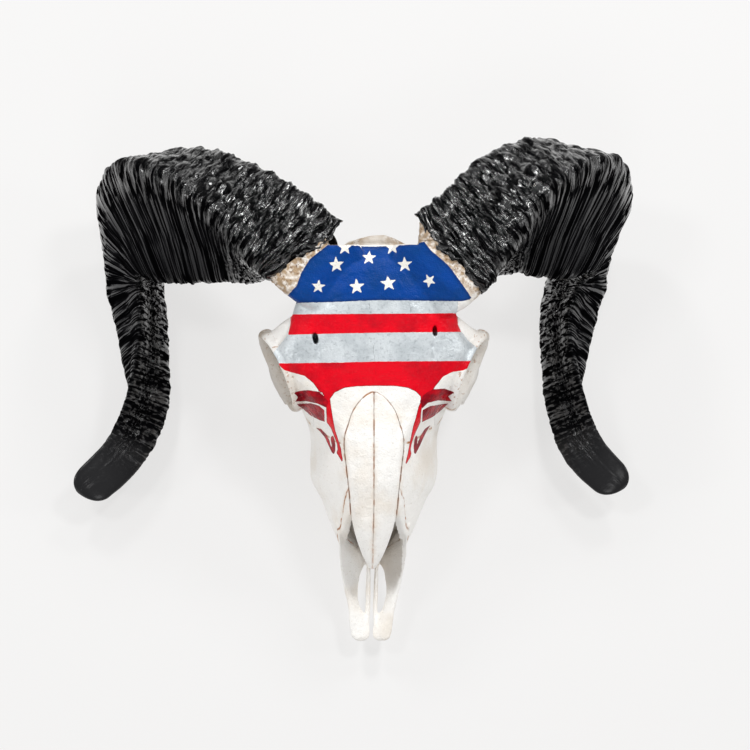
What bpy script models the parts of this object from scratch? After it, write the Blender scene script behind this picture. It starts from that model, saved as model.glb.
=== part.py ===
"""Ram skull with a pair of curled horns, life size, lying on its cheek teeth and horns.

Everything is shaped in the face frame, in millimetres: X to the animal's left, Y up the
forehead from the root of the nose, Z out of the face. At the end the skull is laid down
on a floor at Z = 0 and turned into metres.
"""

import math

import bmesh
import bpy
import numpy as np
from mathutils import Matrix, Vector

MM = 0.001

# Rest: the floor runs along the cheek teeth and touches both horns.
REST_TILT_DEG = 17.7
FLOOR_DEPTH = 100.5
BOX_MIDDLE = (-12.9, 15.5)

# Gap between two bones that meet, and the grain of the fused bone.
SEAM = 0.3
BONE_GRAIN = 1.3
BONE_TRIANGLES = 5200

# Skull body: one row a station along the face, from the nose to the back of the head.
# y, roof z, roof half width, shoulder z, widest half width and its z, low half width
# and its z, floor z
SKULL_STATIONS = {
    "nasal_tip": (-112.0, -21.0, 11.0, -31.0, 19.0, -42.0, 12.0, -50.0, -53.0),
    "nose_opening": (-98.0, -14.5, 14.0, -27.0, 20.5, -42.0, 13.0, -54.0, -57.5),
    "gap_before_teeth": (-87.0, -10.5, 15.5, -20.0, 25.0, -44.0, 20.0, -59.0, -62.0),
    "first_tooth": (-70.0, -6.5, 18.0, -15.0, 31.5, -48.0, 28.0, -64.0, -68.0),
    "face_tubercle": (-56.0, -3.5, 20.0, -12.0, 38.2, -54.0, 33.0, -70.0, -74.0),
    "cheek": (-32.0, -1.5, 22.0, -9.0, 38.5, -54.0, 34.5, -77.0, -80.0),
    "tear_bone": (-14.0, -2.0, 33.0, -12.0, 44.5, -50.0, 34.0, -84.0, -86.0),
    "orbit_front": (2.0, -1.5, 47.0, -12.0, 54.0, -48.0, 32.0, -84.0, -89.0),
    "orbit_back": (20.0, 0.0, 56.0, -11.0, 59.0, -45.0, 28.0, -80.0, -90.0),
    "temple": (34.0, 1.0, 51.0, -9.0, 47.0, -42.0, 25.0, -82.0, -94.0),
    "horn_front": (46.0, 1.5, 48.5, -10.0, 38.0, -46.0, 26.0, -88.0, -99.0),
    "horn_middle": (62.0, 1.0, 42.0, -9.0, 36.0, -50.0, 29.0, -92.0, -103.0),
    "horn_back": (76.0, -2.5, 34.0, -12.0, 36.0, -50.0, 30.0, -92.0, -102.0),
    "nape": (86.0, -14.0, 24.0, -25.0, 33.0, -50.0, 25.0, -88.0, -97.0),
}

# Nose: the pair of nasal bones, half width by distance along them, and the hollow below.
NASAL_HALF_WIDTHS = (
    (-3.5, 1.2), (-7.0, 6.5), (-13.6, 11.8), (-21.0, 14.8), (-33.0, 17.8), (-50.0, 16.4),
    (-64.0, 14.8), (-74.0, 14.0), (-84.0, 12.4), (-95.0, 8.2), (-107.0, 3.0),
)
NASAL_THICKNESS = 3.6
CAVITY_BACK = -38.0
CAVITY_WALL = 4.2
# Top edge of the nose's side walls in front of the bones' meeting, y and z.
NOSE_WALL_EDGE = ((-74.0, -8.0), (-80.0, -16.0), (-88.0, -23.5), (-99.0, -32.0), (-116.0, -39.0))

# Sutures seen from the side, y and z: the nose bones lie before the first, the face
# before the second, the forehead above the third.
NOSE_SUTURE = (
    (-61.0, 10.0), (-62.0, -8.0), (-70.0, -15.5), (-80.0, -23.5), (-87.0, -30.5), (-95.0, -41.0), (-100.0, -52.0),
    (-103.0, -70.0),
)
FACE_SUTURE = (
    (-34.0, 20.0), (-34.0, -12.0), (-27.0, -30.0), (-23.0, -45.0), (-12.0, -62.0), (2.0, -78.0), (5.0, -120.0),
)
FOREHEAD_SUTURE = (
    (-60.0, -37.0), (-12.0, -37.0), (6.0, -31.0), (26.0, -28.0), (46.0, -38.0), (64.0, -46.0), (78.0, -36.0),
    (81.0, -14.0), (83.0, 20.0),
)
CHEEK_BONE_SIDE = 37.0
# Outline of the cheek bone behind the face, y and z.
CHEEK_BONE = ((-60.0, -120.0), (-60.0, -29.0), (35.0, -29.0), (35.0, -54.0), (46.0, -56.0), (46.0, -120.0))

# Upper jaw's front blades, from deep in the face to the tip: y, upper edge x and z,
# lower edge x and z, thickness.
BLADE_STATIONS = (
    (-84.0, 22.0, -30.0, 18.0, -54.0, 4.0),
    (-94.0, 20.6, -32.0, 11.0, -56.5, 4.0),
    (-104.0, 20.3, -35.5, 3.4, -54.5, 3.8),
    (-110.0, 20.0, -38.0, 5.0, -53.0, 3.8),
    (-116.0, 19.0, -39.5, 9.5, -51.5, 4.0),
    (-127.0, 16.8, -41.5, 12.4, -49.0, 4.4),
    (-137.0, 14.4, -41.5, 10.6, -46.5, 4.6),
    (-142.5, 13.6, -41.0, 5.5, -45.0, 4.6),
    (-149.5, 12.8, -40.0, 3.4, -43.5, 4.2),
    (-154.0, 12.0, -39.5, 4.2, -42.0, 3.2),
    (-156.0, 10.0, -39.8, 6.5, -41.0, 1.4),
)

# Orbit: an oval cup that opens sideways.
ORBIT_CENTRE = (56.4, 9.5, -34.0)
ORBIT_RADII = (22.5, 21.0)
ORBIT_TURN_DEG = 24.0
ORBIT_LEAN_DEG = 8.0
ORBIT_DEPTH = 26.0
RIM_RADII = (3.0, 4.4)
# Share of the rim's thickness that is left on its sharp upper edge.
UPPER_RIM_SHARE = 0.55

# The tip of the nose stands a little to the animal's right, as it grew.
NOSE_DRIFT = 1.8
NOSE_DRIFT_RANGE = (-70.0, -150.0)

# Cheek teeth: three premolars and three molars a side, from the front.
TOOTH_LENGTHS = (8.5, 9.5, 10.5, 13.0, 14.5, 16.0)
TOOTH_WIDTHS = (8.0, 9.0, 10.5, 12.5, 13.0, 12.0)
TOOTH_ROW_START = -80.0
TOOTH_ROW_HALF_WIDTHS = (23.0, 29.0)
TOOTH_ROOT = 22.0
TOOTH_SIDES = 12

# Horns: one row a station from the rim to the tip: middle of the section, the way its
# inner edge points, its height from the front face to that edge, its width.
HORN_RINGS = 84
HORN_SIDES = 16
HORN_ROUNDNESS = 3.6
RIDGE_SPACING = 10.5
RIDGE_HEIGHT = 0.028
HORN_STATIONS = {
    "right": {
        "rim": ((-38.5, 76.5, -30.0), (-0.02, -0.05, -1.0), 70.0, 70.0),
        "first_swell": ((-64.0, 80.0, -34.0), (-0.15, -0.48, -0.87), 82.0, 76.0),
        "crown": ((-97.0, 93.0, -43.0), (0.0, -0.82, -0.56), 92.0, 70.0),
        "shoulder": ((-128.0, 99.0, -60.0), (0.03, -0.98, -0.2), 93.0, 64.0),
        "bend": ((-147.0, 90.0, -81.0), (0.08, -0.92, 0.38), 82.0, 54.0),
        "under_bend": ((-148.0, 66.0, -92.0), (0.15, -0.5, 0.85), 66.0, 47.0),
        "belly": ((-145.5, 40.0, -87.0), (0.05, -0.1, 0.99), 55.0, 42.0),
        "fore_belly": ((-145.0, 14.0, -80.0), (-0.12, 0.08, 0.99), 47.0, 38.0),
        "neck": ((-147.0, -13.0, -73.0), (-0.45, 0.2, 0.87), 40.0, 32.0),
        "flare": ((-158.0, -40.0, -66.0), (-0.72, 0.3, 0.62), 31.0, 26.0),
        "tip": ((-183.0, -66.0, -61.0), (-0.8, 0.45, 0.4), 25.0, 24.0),
    },
    "left": {
        "rim": ((44.5, 76.5, -30.0), (0.02, -0.05, -1.0), 72.0, 79.0),
        "first_swell": ((67.0, 82.5, -35.0), (0.12, -0.45, -0.88), 84.0, 77.0),
        "crown": ((93.0, 98.0, -44.0), (0.0, -0.8, -0.6), 96.0, 74.0),
        "shoulder": ((120.0, 102.0, -60.0), (-0.03, -0.98, -0.2), 94.0, 66.0),
        "bend": ((135.5, 91.0, -81.0), (-0.08, -0.92, 0.38), 82.0, 54.0),
        "under_bend": ((128.0, 66.0, -92.0), (-0.15, -0.5, 0.85), 66.0, 49.0),
        "belly": ((121.0, 40.0, -87.0), (-0.05, -0.1, 0.99), 55.0, 44.0),
        "fore_belly": ((121.0, 14.0, -80.0), (0.12, 0.08, 0.99), 47.0, 36.0),
        "neck": ((124.5, -13.0, -73.0), (0.45, 0.2, 0.87), 39.0, 28.5),
        "flare": ((132.5, -38.0, -66.0), (0.72, 0.3, 0.62), 31.0, 23.0),
        "tip": ((155.0, -63.0, -61.0), (0.8, 0.45, 0.4), 24.0, 21.0),
    },
}
RIM_NORMALS = {"right": (-0.74, 0.67, -0.04), "left": (0.69, 0.725, -0.04)}
RIM_REACH = 55.0
HORN_CORE_SHARE = 0.95

BONE_COLOUR = (0.80, 0.77, 0.70, 1.0)
HORN_COLOUR = (0.012, 0.012, 0.013, 1.0)


def clear_scene():
    for obj in list(bpy.data.objects):
        bpy.data.objects.remove(obj, do_unlink=True)


def collection_named(name):
    made = bpy.data.collections.new(name)
    bpy.context.scene.collection.children.link(made)
    return made


def material_of(name, colour, roughness):
    made = bpy.data.materials.new(name)
    made.use_nodes = True
    shader = made.node_tree.nodes["Principled BSDF"]
    shader.inputs["Base Color"].default_value = colour
    shader.inputs["Roughness"].default_value = roughness
    shader.inputs["Metallic"].default_value = 0.0
    return made


def object_from(name, mesh, collection):
    obj = bpy.data.objects.new(name, mesh)
    collection.objects.link(obj)
    return obj


def smooth_through(knots, samples):
    """Points on a smooth curve through the knots, one a row, at the samples from 0 to 1."""
    knots = np.asarray(knots, float)
    padded = np.vstack([2 * knots[0] - knots[1], knots, 2 * knots[-1] - knots[-2]])
    at = np.clip(np.asarray(samples), 0, 1) * (len(knots) - 1)
    span = np.minimum(at.astype(int), len(knots) - 2)
    t = (at - span)[:, None]
    p0, p1, p2, p3 = (padded[span + k] for k in range(4))
    return 0.5 * (
        2 * p1
        + (p2 - p0) * t
        + (2 * p0 - 5 * p1 + 4 * p2 - p3) * t**2
        + (3 * p1 - p0 - 3 * p2 + p3) * t**3
    )


def loft(name, rings, collection):
    """A closed skin over rings of points that all have the same count, fanned shut at both ends."""
    mesh = bmesh.new()
    rows = [[mesh.verts.new(point) for point in ring] for ring in rings]
    for row, after in zip(rows, rows[1:]):
        for k in range(len(row)):
            n = (k + 1) % len(row)
            mesh.faces.new((row[k], row[n], after[n], after[k]))
    for row in (rows[0], rows[-1]):
        middle = mesh.verts.new(sum((v.co for v in row), Vector()) / len(row))
        for k in range(len(row)):
            mesh.faces.new((row[k], row[(k + 1) % len(row)], middle))
    bmesh.ops.recalc_face_normals(mesh, faces=mesh.faces)
    bmesh.ops.triangulate(mesh, faces=mesh.faces)
    data = bpy.data.meshes.new(name)
    mesh.to_mesh(data)
    mesh.free()
    return object_from(name, data, collection)


def tube(name, path, sizes, collection, sides=10, lie=(0, 0, 1), closed=False):
    """A tube of oval sections along a path. Sizes are (half width, half height) pairs."""
    path = [Vector(p) for p in path]
    rings = []
    for k, point in enumerate(path):
        before = path[k - 1] if k or closed else point
        after = path[(k + 1) % len(path)] if closed or k + 1 < len(path) else point
        along = (after - before).normalized()
        across = along.cross(Vector(lie)).normalized()
        up = across.cross(along)
        wide, high = sizes[k]
        turns = (2 * math.pi * s / sides for s in range(sides))
        rings.append([point + across * wide * math.cos(a) + up * high * math.sin(a) for a in turns])
    if not closed:
        return loft(name, rings, collection)
    mesh = bmesh.new()
    rows = [[mesh.verts.new(point) for point in ring] for ring in rings]
    for k, row in enumerate(rows):
        after = rows[(k + 1) % len(rows)]
        for s in range(sides):
            n = (s + 1) % sides
            mesh.faces.new((row[s], row[n], after[n], after[s]))
    bmesh.ops.recalc_face_normals(mesh, faces=mesh.faces)
    data = bpy.data.meshes.new(name)
    mesh.to_mesh(data)
    mesh.free()
    return object_from(name, data, collection)


def ellipsoid(name, centre, radii, collection, turn=None, segments=24):
    mesh = bmesh.new()
    bmesh.ops.create_uvsphere(mesh, u_segments=segments, v_segments=segments // 2, radius=1.0)
    place = Matrix.Translation(centre) @ (turn or Matrix.Identity(4)) @ Matrix.Diagonal((*radii, 1.0))
    bmesh.ops.transform(mesh, matrix=place, verts=mesh.verts)
    bmesh.ops.recalc_face_normals(mesh, faces=mesh.faces)
    data = bpy.data.meshes.new(name)
    mesh.to_mesh(data)
    mesh.free()
    return object_from(name, data, collection)


def block(name, low, high, collection, turn=None):
    mesh = bmesh.new()
    bmesh.ops.create_cube(mesh, size=1.0)
    low, high = Vector(low), Vector(high)
    place = (turn or Matrix.Identity(4)) @ Matrix.Translation((low + high) / 2)
    bmesh.ops.transform(mesh, matrix=place @ Matrix.Diagonal((*(high - low), 1.0)), verts=mesh.verts)
    data = bpy.data.meshes.new(name)
    mesh.to_mesh(data)
    mesh.free()
    return object_from(name, data, collection)


def apply_modifiers(obj):
    graph = bpy.context.evaluated_depsgraph_get()
    mesh = bpy.data.meshes.new_from_object(obj.evaluated_get(graph))
    obj.modifiers.clear()
    obj.data = mesh
    return obj


def remove(objects):
    for obj in objects:
        bpy.data.objects.remove(obj, do_unlink=True)


def boolean(obj, others, operation, solver="MANIFOLD"):
    """One Boolean of the object with a collection of closed meshes, which are then removed."""
    tools = collection_named("tools")
    for other in others:
        for home in list(other.users_collection):
            home.objects.unlink(other)
        tools.objects.link(other)
        other.hide_render = True
        other.display_type = "WIRE"
    modifier = obj.modifiers.new(operation.lower(), "BOOLEAN")
    modifier.operation = operation
    modifier.operand_type = "COLLECTION"
    modifier.collection = tools
    modifier.solver = solver
    apply_modifiers(obj)
    remove(others)
    bpy.data.collections.remove(tools)
    return obj


def copied(obj, name, collection):
    return object_from(name, obj.data.copy(), collection)


def keep_largest(obj):
    """Drops every closed surface of the object but the largest."""
    mesh = bmesh.new()
    mesh.from_mesh(obj.data)
    left, groups = set(mesh.verts), []
    while left:
        group, front = set(), [left.pop()]
        while front:
            vert = front.pop()
            group.add(vert)
            for edge in vert.link_edges:
                other = edge.other_vert(vert)
                if other in left:
                    left.remove(other)
                    front.append(other)
        groups.append(group)
    groups.sort(key=len)
    for group in groups[:-1]:
        bmesh.ops.delete(mesh, geom=list(group), context="VERTS")
    bmesh.ops.triangulate(mesh, faces=mesh.faces)
    mesh.to_mesh(obj.data)
    mesh.free()
    return obj


def mirrored(point):
    return Vector((-point[0], point[1], point[2]))


def sides_of(point):
    """The point on the animal's left and its mirror on the right, with their names."""
    return (("left", Vector(point)), ("right", mirrored(point)))


def station_values(y):
    """The nine sizes of the skull's section at y, read smoothly between the stations."""
    rows = np.array(list(SKULL_STATIONS.values()))
    samples = np.linspace(0, 1, 241)
    fine = smooth_through(rows, samples)
    return [float(np.interp(y, fine[:, 0], fine[:, k])) for k in range(rows.shape[1])]


def skull_ring(sizes, inset=0.0, corners=8):
    """A closed section from one row of sizes, smooth between its corners."""
    y, roof, roof_w, shoulder, wide, wide_z, low_w, low_z, floor = sizes
    half = [
        (0.0, roof),
        (0.55 * roof_w, roof - 0.10 * (roof - shoulder)),
        (roof_w, shoulder),
        (wide, wide_z),
        (low_w, low_z),
        (0.55 * low_w, floor),
    ]
    knots = half + [(0.0, floor)] + [(-x, z) for x, z in half[:0:-1]]
    closed = np.array(knots[-2:] + knots + knots[:3])
    span = len(closed) - 1
    samples = (2 + np.arange(corners * len(knots)) / corners) / span
    fine = smooth_through(closed, samples)
    middle = np.array([0.0, (roof + floor) / 2])
    away = fine - middle
    reach = np.linalg.norm(away, axis=1, keepdims=True)
    fine = middle + away * np.maximum(reach - inset, 1.0) / reach
    return [Vector((x, y, z)) for x, z in fine]


def skull_body(collection):
    ys = np.linspace(SKULL_STATIONS["nose_opening"][0], SKULL_STATIONS["nape"][0], 60)
    return loft("skull", [skull_ring([y] + station_values(y)[1:]) for y in ys], collection)


def orbit_axes(side):
    """The orbit's centre and its long, short and outward axes on one side."""
    turn = math.radians(ORBIT_TURN_DEG)
    lean = math.radians(ORBIT_LEAN_DEG)
    sign = 1 if side == "left" else -1
    long_axis = Vector((sign * math.sin(turn), math.cos(turn), 0.0))
    short_axis = Vector((-sign * math.sin(lean), 0.0, math.cos(lean)))
    short_axis = (short_axis - long_axis * short_axis.dot(long_axis)).normalized()
    out = long_axis.cross(short_axis) * sign
    centre = Vector((sign * ORBIT_CENTRE[0], *ORBIT_CENTRE[1:]))
    return centre, long_axis, short_axis, out


def orbit_rim(side, collection):
    centre, long_axis, short_axis, _ = orbit_axes(side)
    steps = 28
    turns = [2 * math.pi * k / steps for k in range(steps)]
    reach = (ORBIT_RADII[0] + 1.5, ORBIT_RADII[1] + 1.5)
    path = [centre + long_axis * reach[0] * math.cos(a) + short_axis * reach[1] * math.sin(a) for a in turns]
    shares = [1 - (1 - UPPER_RIM_SHARE) * max(0.0, math.sin(a)) for a in turns]
    return tube(
        f"rim_{side}", path, [(RIM_RADII[0] * s, RIM_RADII[1] * s) for s in shares], collection,
        sides=8, lie=long_axis.cross(short_axis), closed=True,
    )


def orbit_socket(side, collection):
    centre, long_axis, short_axis, out = orbit_axes(side)
    turn = Matrix((long_axis, short_axis, out)).transposed().to_4x4()
    return ellipsoid(
        f"socket_{side}", centre + out * 2.0,
        (ORBIT_RADII[0] - 1.5, ORBIT_RADII[1] - 1.5, ORBIT_DEPTH), collection, turn,
    )


def cheek_arch(side, collection):
    """The bar from the lower rim of the orbit back to the root above the ear."""
    path = [(52.0, -10.0, -56.0), (61.0, 8.0, -60.0), (60.0, 22.0, -62.0), (50.0, 35.0, -66.0), (41.0, 50.0, -72.0), (30.0, 66.0, -76.0)]
    sizes = [(3.5, 7.0), (3.5, 6.5), (3.0, 5.0), (3.0, 4.5), (4.0, 5.0), (6.0, 6.0)]
    samples = np.linspace(0, 1, 20)
    points = smooth_through(path, samples)
    radii = smooth_through(sizes, samples)
    if side == "right":
        points = points * (-1, 1, 1)
    return tube(f"arch_{side}", points, [tuple(r) for r in radii], collection)


def bar_behind_orbit(side, collection):
    """The flat bar that runs from the forehead's edge out and down to the back of the orbit's rim."""
    sign = 1 if side == "left" else -1
    path = smooth_through([(45.0, 37.5, -12.0), (56.0, 31.5, -19.0), (64.5, 27.5, -31.0)], np.linspace(0, 1, 9))
    sizes = smooth_through([(8.0, 3.6), (6.3, 3.2), (4.2, 3.6)], np.linspace(0, 1, 9))
    lie = (0.5 * sign, 0.3, 0.8)
    return tube(f"bar_{side}", path * (sign, 1, 1), [tuple(r) for r in sizes], collection, lie=lie)


def back_of_skull(collection):
    """Condyles, ear capsules, the pegs beside them and the crest across the nape."""
    pieces = []
    for side, point in sides_of((12.5, 88.0, -104.0)):
        pieces.append(ellipsoid(f"condyle_{side}", point, (8.0, 8.0, 12.0), collection))
    for side, point in sides_of((22.0, 60.0, -104.0)):
        pieces.append(ellipsoid(f"capsule_{side}", point, (8.0, 12.0, 9.0), collection))
    for side, point in sides_of((27.0, 78.0, -92.0)):
        tip = point + Vector((0.0, -2.0, -24.0))
        tip.x *= 0.96
        pieces.append(tube(f"peg_{side}", [point, (point + tip) / 2, tip], [(6, 5), (5, 3.5), (2, 1.6)], collection, lie=(0, 1, 0)))
    arch = [(-30.0, 80.0, -72.0), (-22.0, 86.0, -55.0), (-10.0, 88.5, -48.0), (0.0, 89.0, -46.0), (10.0, 88.5, -48.0), (22.0, 86.0, -55.0), (30.0, 80.0, -72.0)]
    points = smooth_through(arch, np.linspace(0, 1, 24))
    pieces.append(tube("nape_crest", points, [(4.0, 3.2)] * 24, collection, sides=8, lie=(0, 1, 0)))
    return pieces


def horn_axis(side):
    """Frames along one horn, base to tip: middle, growth direction, side, inner edge; and sizes."""
    samples = np.linspace(0, 1, HORN_RINGS)
    rows = list(HORN_STATIONS[side].values())
    centres = smooth_through([r[0] for r in rows], samples)
    inward = smooth_through([r[1] for r in rows], samples)
    sizes = smooth_through([(r[2], r[3]) for r in rows], samples)
    normal = Vector(RIM_NORMALS[side])
    steps = np.linalg.norm(np.diff(centres, axis=0), axis=1)
    run = np.concatenate([[0.0], np.cumsum(steps)])
    frames = []
    for k, centre in enumerate(centres):
        before, after = centres[max(k - 1, 0)], centres[min(k + 1, len(centres) - 1)]
        tangent = Vector(after - before).normalized()
        grown = min(1.0, run[k] / RIM_REACH)
        along = normal.lerp(tangent, grown * grown * (3 - 2 * grown)).normalized()
        inner = Vector(inward[k])
        inner = (inner - along * inner.dot(along)).normalized()
        frames.append((Vector(centre), along, along.cross(inner), inner))
    return frames, sizes, run


def horn_section(height, width, sides):
    """A rounded triangle: flat front face, two flanks that meet in the inner edge."""
    flank = math.hypot(height, width / 2)
    faces = (
        (0.0, -1.0, height / 2),
        (height / flank, width / 2 / flank, width * height / 4 / flank),
        (-height / flank, width / 2 / flank, width * height / 4 / flank),
    )
    section = []
    for k in range(sides):
        a = 2 * math.pi * k / sides
        u, v = math.cos(a), math.sin(a)
        total = sum(max(0.0, (nx * u + ny * v) / d) ** HORN_ROUNDNESS for nx, ny, d in faces)
        section.append((a, u * total ** (-1 / HORN_ROUNDNESS), v * total ** (-1 / HORN_ROUNDNESS)))
    return section


def horn(side, collection):
    frames, sizes, run = horn_axis(side)
    rings = []
    for (centre, _, across, inner), (height, width), at in zip(frames, sizes, run):
        left = run[-1] - at
        blunt = math.sqrt(max(0.0, 1 - max(0.0, 1 - left / 13.0) ** 2.4))
        fade = min(1.0, left / 110.0)
        ring = []
        for a, u, v in horn_section(height, width, HORN_SIDES):
            front = 0.5 - 0.5 * math.sin(a)
            wave = math.sin(2 * math.pi * at / RIDGE_SPACING + 0.9 * math.sin(2 * a))
            swell = 1 + RIDGE_HEIGHT * fade * (0.35 + 0.65 * front) * wave
            ring.append(centre + (across * u + inner * v) * swell * max(blunt, 0.12))
        rings.append(ring)
    return loft(f"horn_{side}", rings, collection)


def horn_core(side, collection):
    """The bony root under the horn, from deep in the forehead to past the horn's rim."""
    frames, sizes, _ = horn_axis(side)
    centre, along, across, inner = frames[0]
    height, width = sizes[0] * HORN_CORE_SHARE
    rings = []
    for back, share in ((34.0, 0.74), (14.0, 0.96), (0.0, 1.0), (-5.0, 1.0)):
        section = horn_section(height, width, 24)
        rings.append([centre - along * back + (across * u + inner * v) * share for _, u, v in section])
    return loft(f"core_{side}", rings, collection)


def rim_cutter(side, collection):
    """Everything past the horn's rim, so that bone and horn meet on one flat face."""
    frames, _, _ = horn_axis(side)
    centre, along, across, inner = frames[0]
    rings = []
    for ahead in (-SEAM, 40.0):
        turns = (2 * math.pi * k / 24 for k in range(24))
        rings.append([centre + along * ahead + (across * math.cos(a) + inner * math.sin(a)) * 46.0 for a in turns])
    return loft(f"rim_cutter_{side}", rings, collection)


def nasal_half_width(y):
    knots = np.array(NASAL_HALF_WIDTHS)
    fine = smooth_through(knots, np.linspace(0, 1, 161))
    return float(np.interp(-y, -fine[:, 0], fine[:, 1]))


def roof_height(xs, y):
    """Height of the skull's upper surface at y for each x."""
    ring = np.array([(p.x, p.z) for p in skull_ring([y] + station_values(y)[1:])])
    top = ring[(ring[:, 0] >= -0.01) & (ring[:, 1] > station_values(y)[5])]
    top = top[np.argsort(top[:, 0])]
    return np.interp(np.abs(xs), top[:, 0], top[:, 1])


def nasal_steps():
    top, tip = NASAL_HALF_WIDTHS[0][0], NASAL_HALF_WIDTHS[-1][0]
    return np.concatenate([np.linspace(top, top - 10, 5)[:-1], np.linspace(top - 10, tip, 18)])


def nasal_bone(side, collection):
    sign = 1 if side == "left" else -1
    tip = NASAL_HALF_WIDTHS[-1][0]
    rings = []
    for k, y in enumerate(nasal_steps()):
        edge = nasal_half_width(y)
        y -= SEAM if k == 0 else 0.0
        xs = np.linspace(SEAM / 2, max(edge, 0.8), 6)
        outer = roof_height(xs, y) + 0.5 * np.sin(np.pi * xs / max(edge, 0.8))
        thick = NASAL_THICKNESS * (0.62 + 0.38 * min(1.0, (y - tip) / 25.0))
        lower = roof_height(xs, y) - thick
        ring = [(x, z) for x, z in zip(xs, outer)] + [(x, z) for x, z in zip(xs[::-1], lower[::-1])]
        rings.append([Vector((sign * x, y, z)) for x, z in ring])
    return loft(f"nasal_{side}", rings, collection)


def nasal_bed(collection):
    """The space that both nasal bones take out of the skull, with the seam round it."""
    rings = []
    for y in list(nasal_steps()) + [NASAL_HALF_WIDTHS[-1][0] - 5.0]:
        edge = nasal_half_width(y) + SEAM
        half = np.linspace(0.0, edge, 6)
        xs = np.concatenate([-half[:0:-1], half])
        lower = roof_height(xs, y) - NASAL_THICKNESS - SEAM - 0.15
        rings.append([Vector((x, y, z)) for x, z in zip(xs, lower)] + [Vector((edge, y, 12.0)), Vector((-edge, y, 12.0))])
    return loft("nasal_bed", rings, collection)


def nose_hollow(collection):
    """The airway, open at the nose and blind between the orbits."""
    rings = []
    for y in np.linspace(-122.0, CAVITY_BACK, 26):
        sizes = station_values(max(y, -112.0))
        inset = CAVITY_WALL + 16.0 * max(0.0, (y - CAVITY_BACK + 12.0) / 12.0) ** 2
        rings.append(skull_ring([y] + sizes[1:], inset))
    return loft("nose_hollow", rings, collection)


def side_profile(name, outline, x_low, x_high, collection):
    """A solid whose outline in y and z runs straight across from x_low to x_high."""
    return loft(name, [[Vector((x, y, z)) for y, z in outline] for x in (x_low, x_high)], collection)


def blade(side, collection):
    sign = 1 if side == "left" else -1
    rings = []
    for y, top_x, top_z, low_x, low_z, thick in smooth_through(BLADE_STATIONS, np.linspace(0, 1, 34)):
        top, low = Vector((top_x, y, top_z)), Vector((low_x, y, low_z))
        middle, half = (top + low) / 2, (top - low) / 2
        flat = half.normalized().cross(Vector((0, 1, 0)))
        turns = (2 * math.pi * k / 14 for k in range(14))
        ring = [middle + half * math.cos(a) + flat * (thick / 2) * math.sin(a) for a in turns]
        rings.append([Vector((sign * p.x, p.y, p.z)) for p in ring])
    return loft(f"blade_{side}", rings, collection)


def palate_strut(side, collection):
    """Slim rod of the palate beside the midline, from the jaw's tip back to the face."""
    sign = 1 if side == "left" else -1
    path = [(4.8, -146.0, -43.2), (2.7, -138.0, -45.6), (2.4, -124.0, -49.2), (2.5, -110.0, -52.6), (3.0, -98.0, -55.4)]
    points = smooth_through(path, np.linspace(0, 1, 18)) * (sign, 1, 1)
    return tube(f"strut_{side}", points, [(1.25, 1.9)] * 18, collection, sides=10)


def fused_bone(collection):
    """The whole skull in one: body, rims, arches and roots joined, then hollowed where it is open."""
    skull = skull_body(collection)
    temples = []
    for side, point in sides_of((51.0, 45.0, -52.0)):
        temples.append(ellipsoid(f"temporal_{side}", point, (12.0, 16.0, 26.0), collection))
    boolean(skull, temples, "DIFFERENCE")
    pieces = back_of_skull(collection)
    for side in ("left", "right"):
        pieces += [orbit_rim(side, collection), cheek_arch(side, collection), horn_core(side, collection)]
        pieces.append(bar_behind_orbit(side, collection))
    boolean(skull, pieces, "UNION")
    edge = list(NOSE_WALL_EDGE) + [(-118.0, 30.0), (-74.0, 30.0)]
    hollows = [nose_hollow(collection), side_profile("nose_edge", edge, -60.0, 60.0, collection)]
    hollows += [orbit_socket(side, collection) for side in ("left", "right")]
    hollows.append(ellipsoid("foramen_magnum", (0.0, 92.0, -94.0), (7.5, 20.0, 8.0), collection))
    hollows.append(ellipsoid("choana", (0.0, 22.0, -96.0), (10.0, 26.0, 17.0), collection))
    boolean(skull, hollows, "DIFFERENCE")
    jaws = [blade(side, collection) for side in ("left", "right")]
    jaws += [palate_strut(side, collection) for side in ("left", "right")]
    return boolean(skull, jaws, "UNION")


def region(name, line, shift, side, collection):
    """The part of space before or above a suture line, moved by shift off the line."""
    far = {"nose": [(-200.0, -70.0), (-200.0, 10.0)], "face": [(-200.0, -120.0), (-200.0, 20.0)], "forehead": [(-60.0, 20.0)]}[name]
    outline = [(y + shift[0], z + shift[1]) for y, z in line] + far
    low, high = {"left": (SEAM / 2, 120.0), "right": (-120.0, -SEAM / 2), "both": (-120.0, 120.0)}[side]
    return side_profile(name, outline, low, high, collection)


def cheek_region(grown, side, collection):
    """The space of one cheek bone, made larger or smaller all round."""
    outline = [(y + (grown if y > 0 else 0.0), z + (grown if z > -100 else 0.0)) for y, z in CHEEK_BONE]
    near, far = CHEEK_BONE_SIDE - grown, 110.0
    low, high = (near, far) if side == "left" else (-far, -near)
    return side_profile("cheek", outline, low, high, collection)


def split_off(skull, name, keep, drop, collection):
    """Cuts the part of the skull in keep() off as a bone of its own and leaves the seam."""
    bone = copied(skull, name, collection)
    boolean(bone, [keep()], "INTERSECT")
    boolean(skull, [drop()], "DIFFERENCE")
    return keep_largest(bone)


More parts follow.
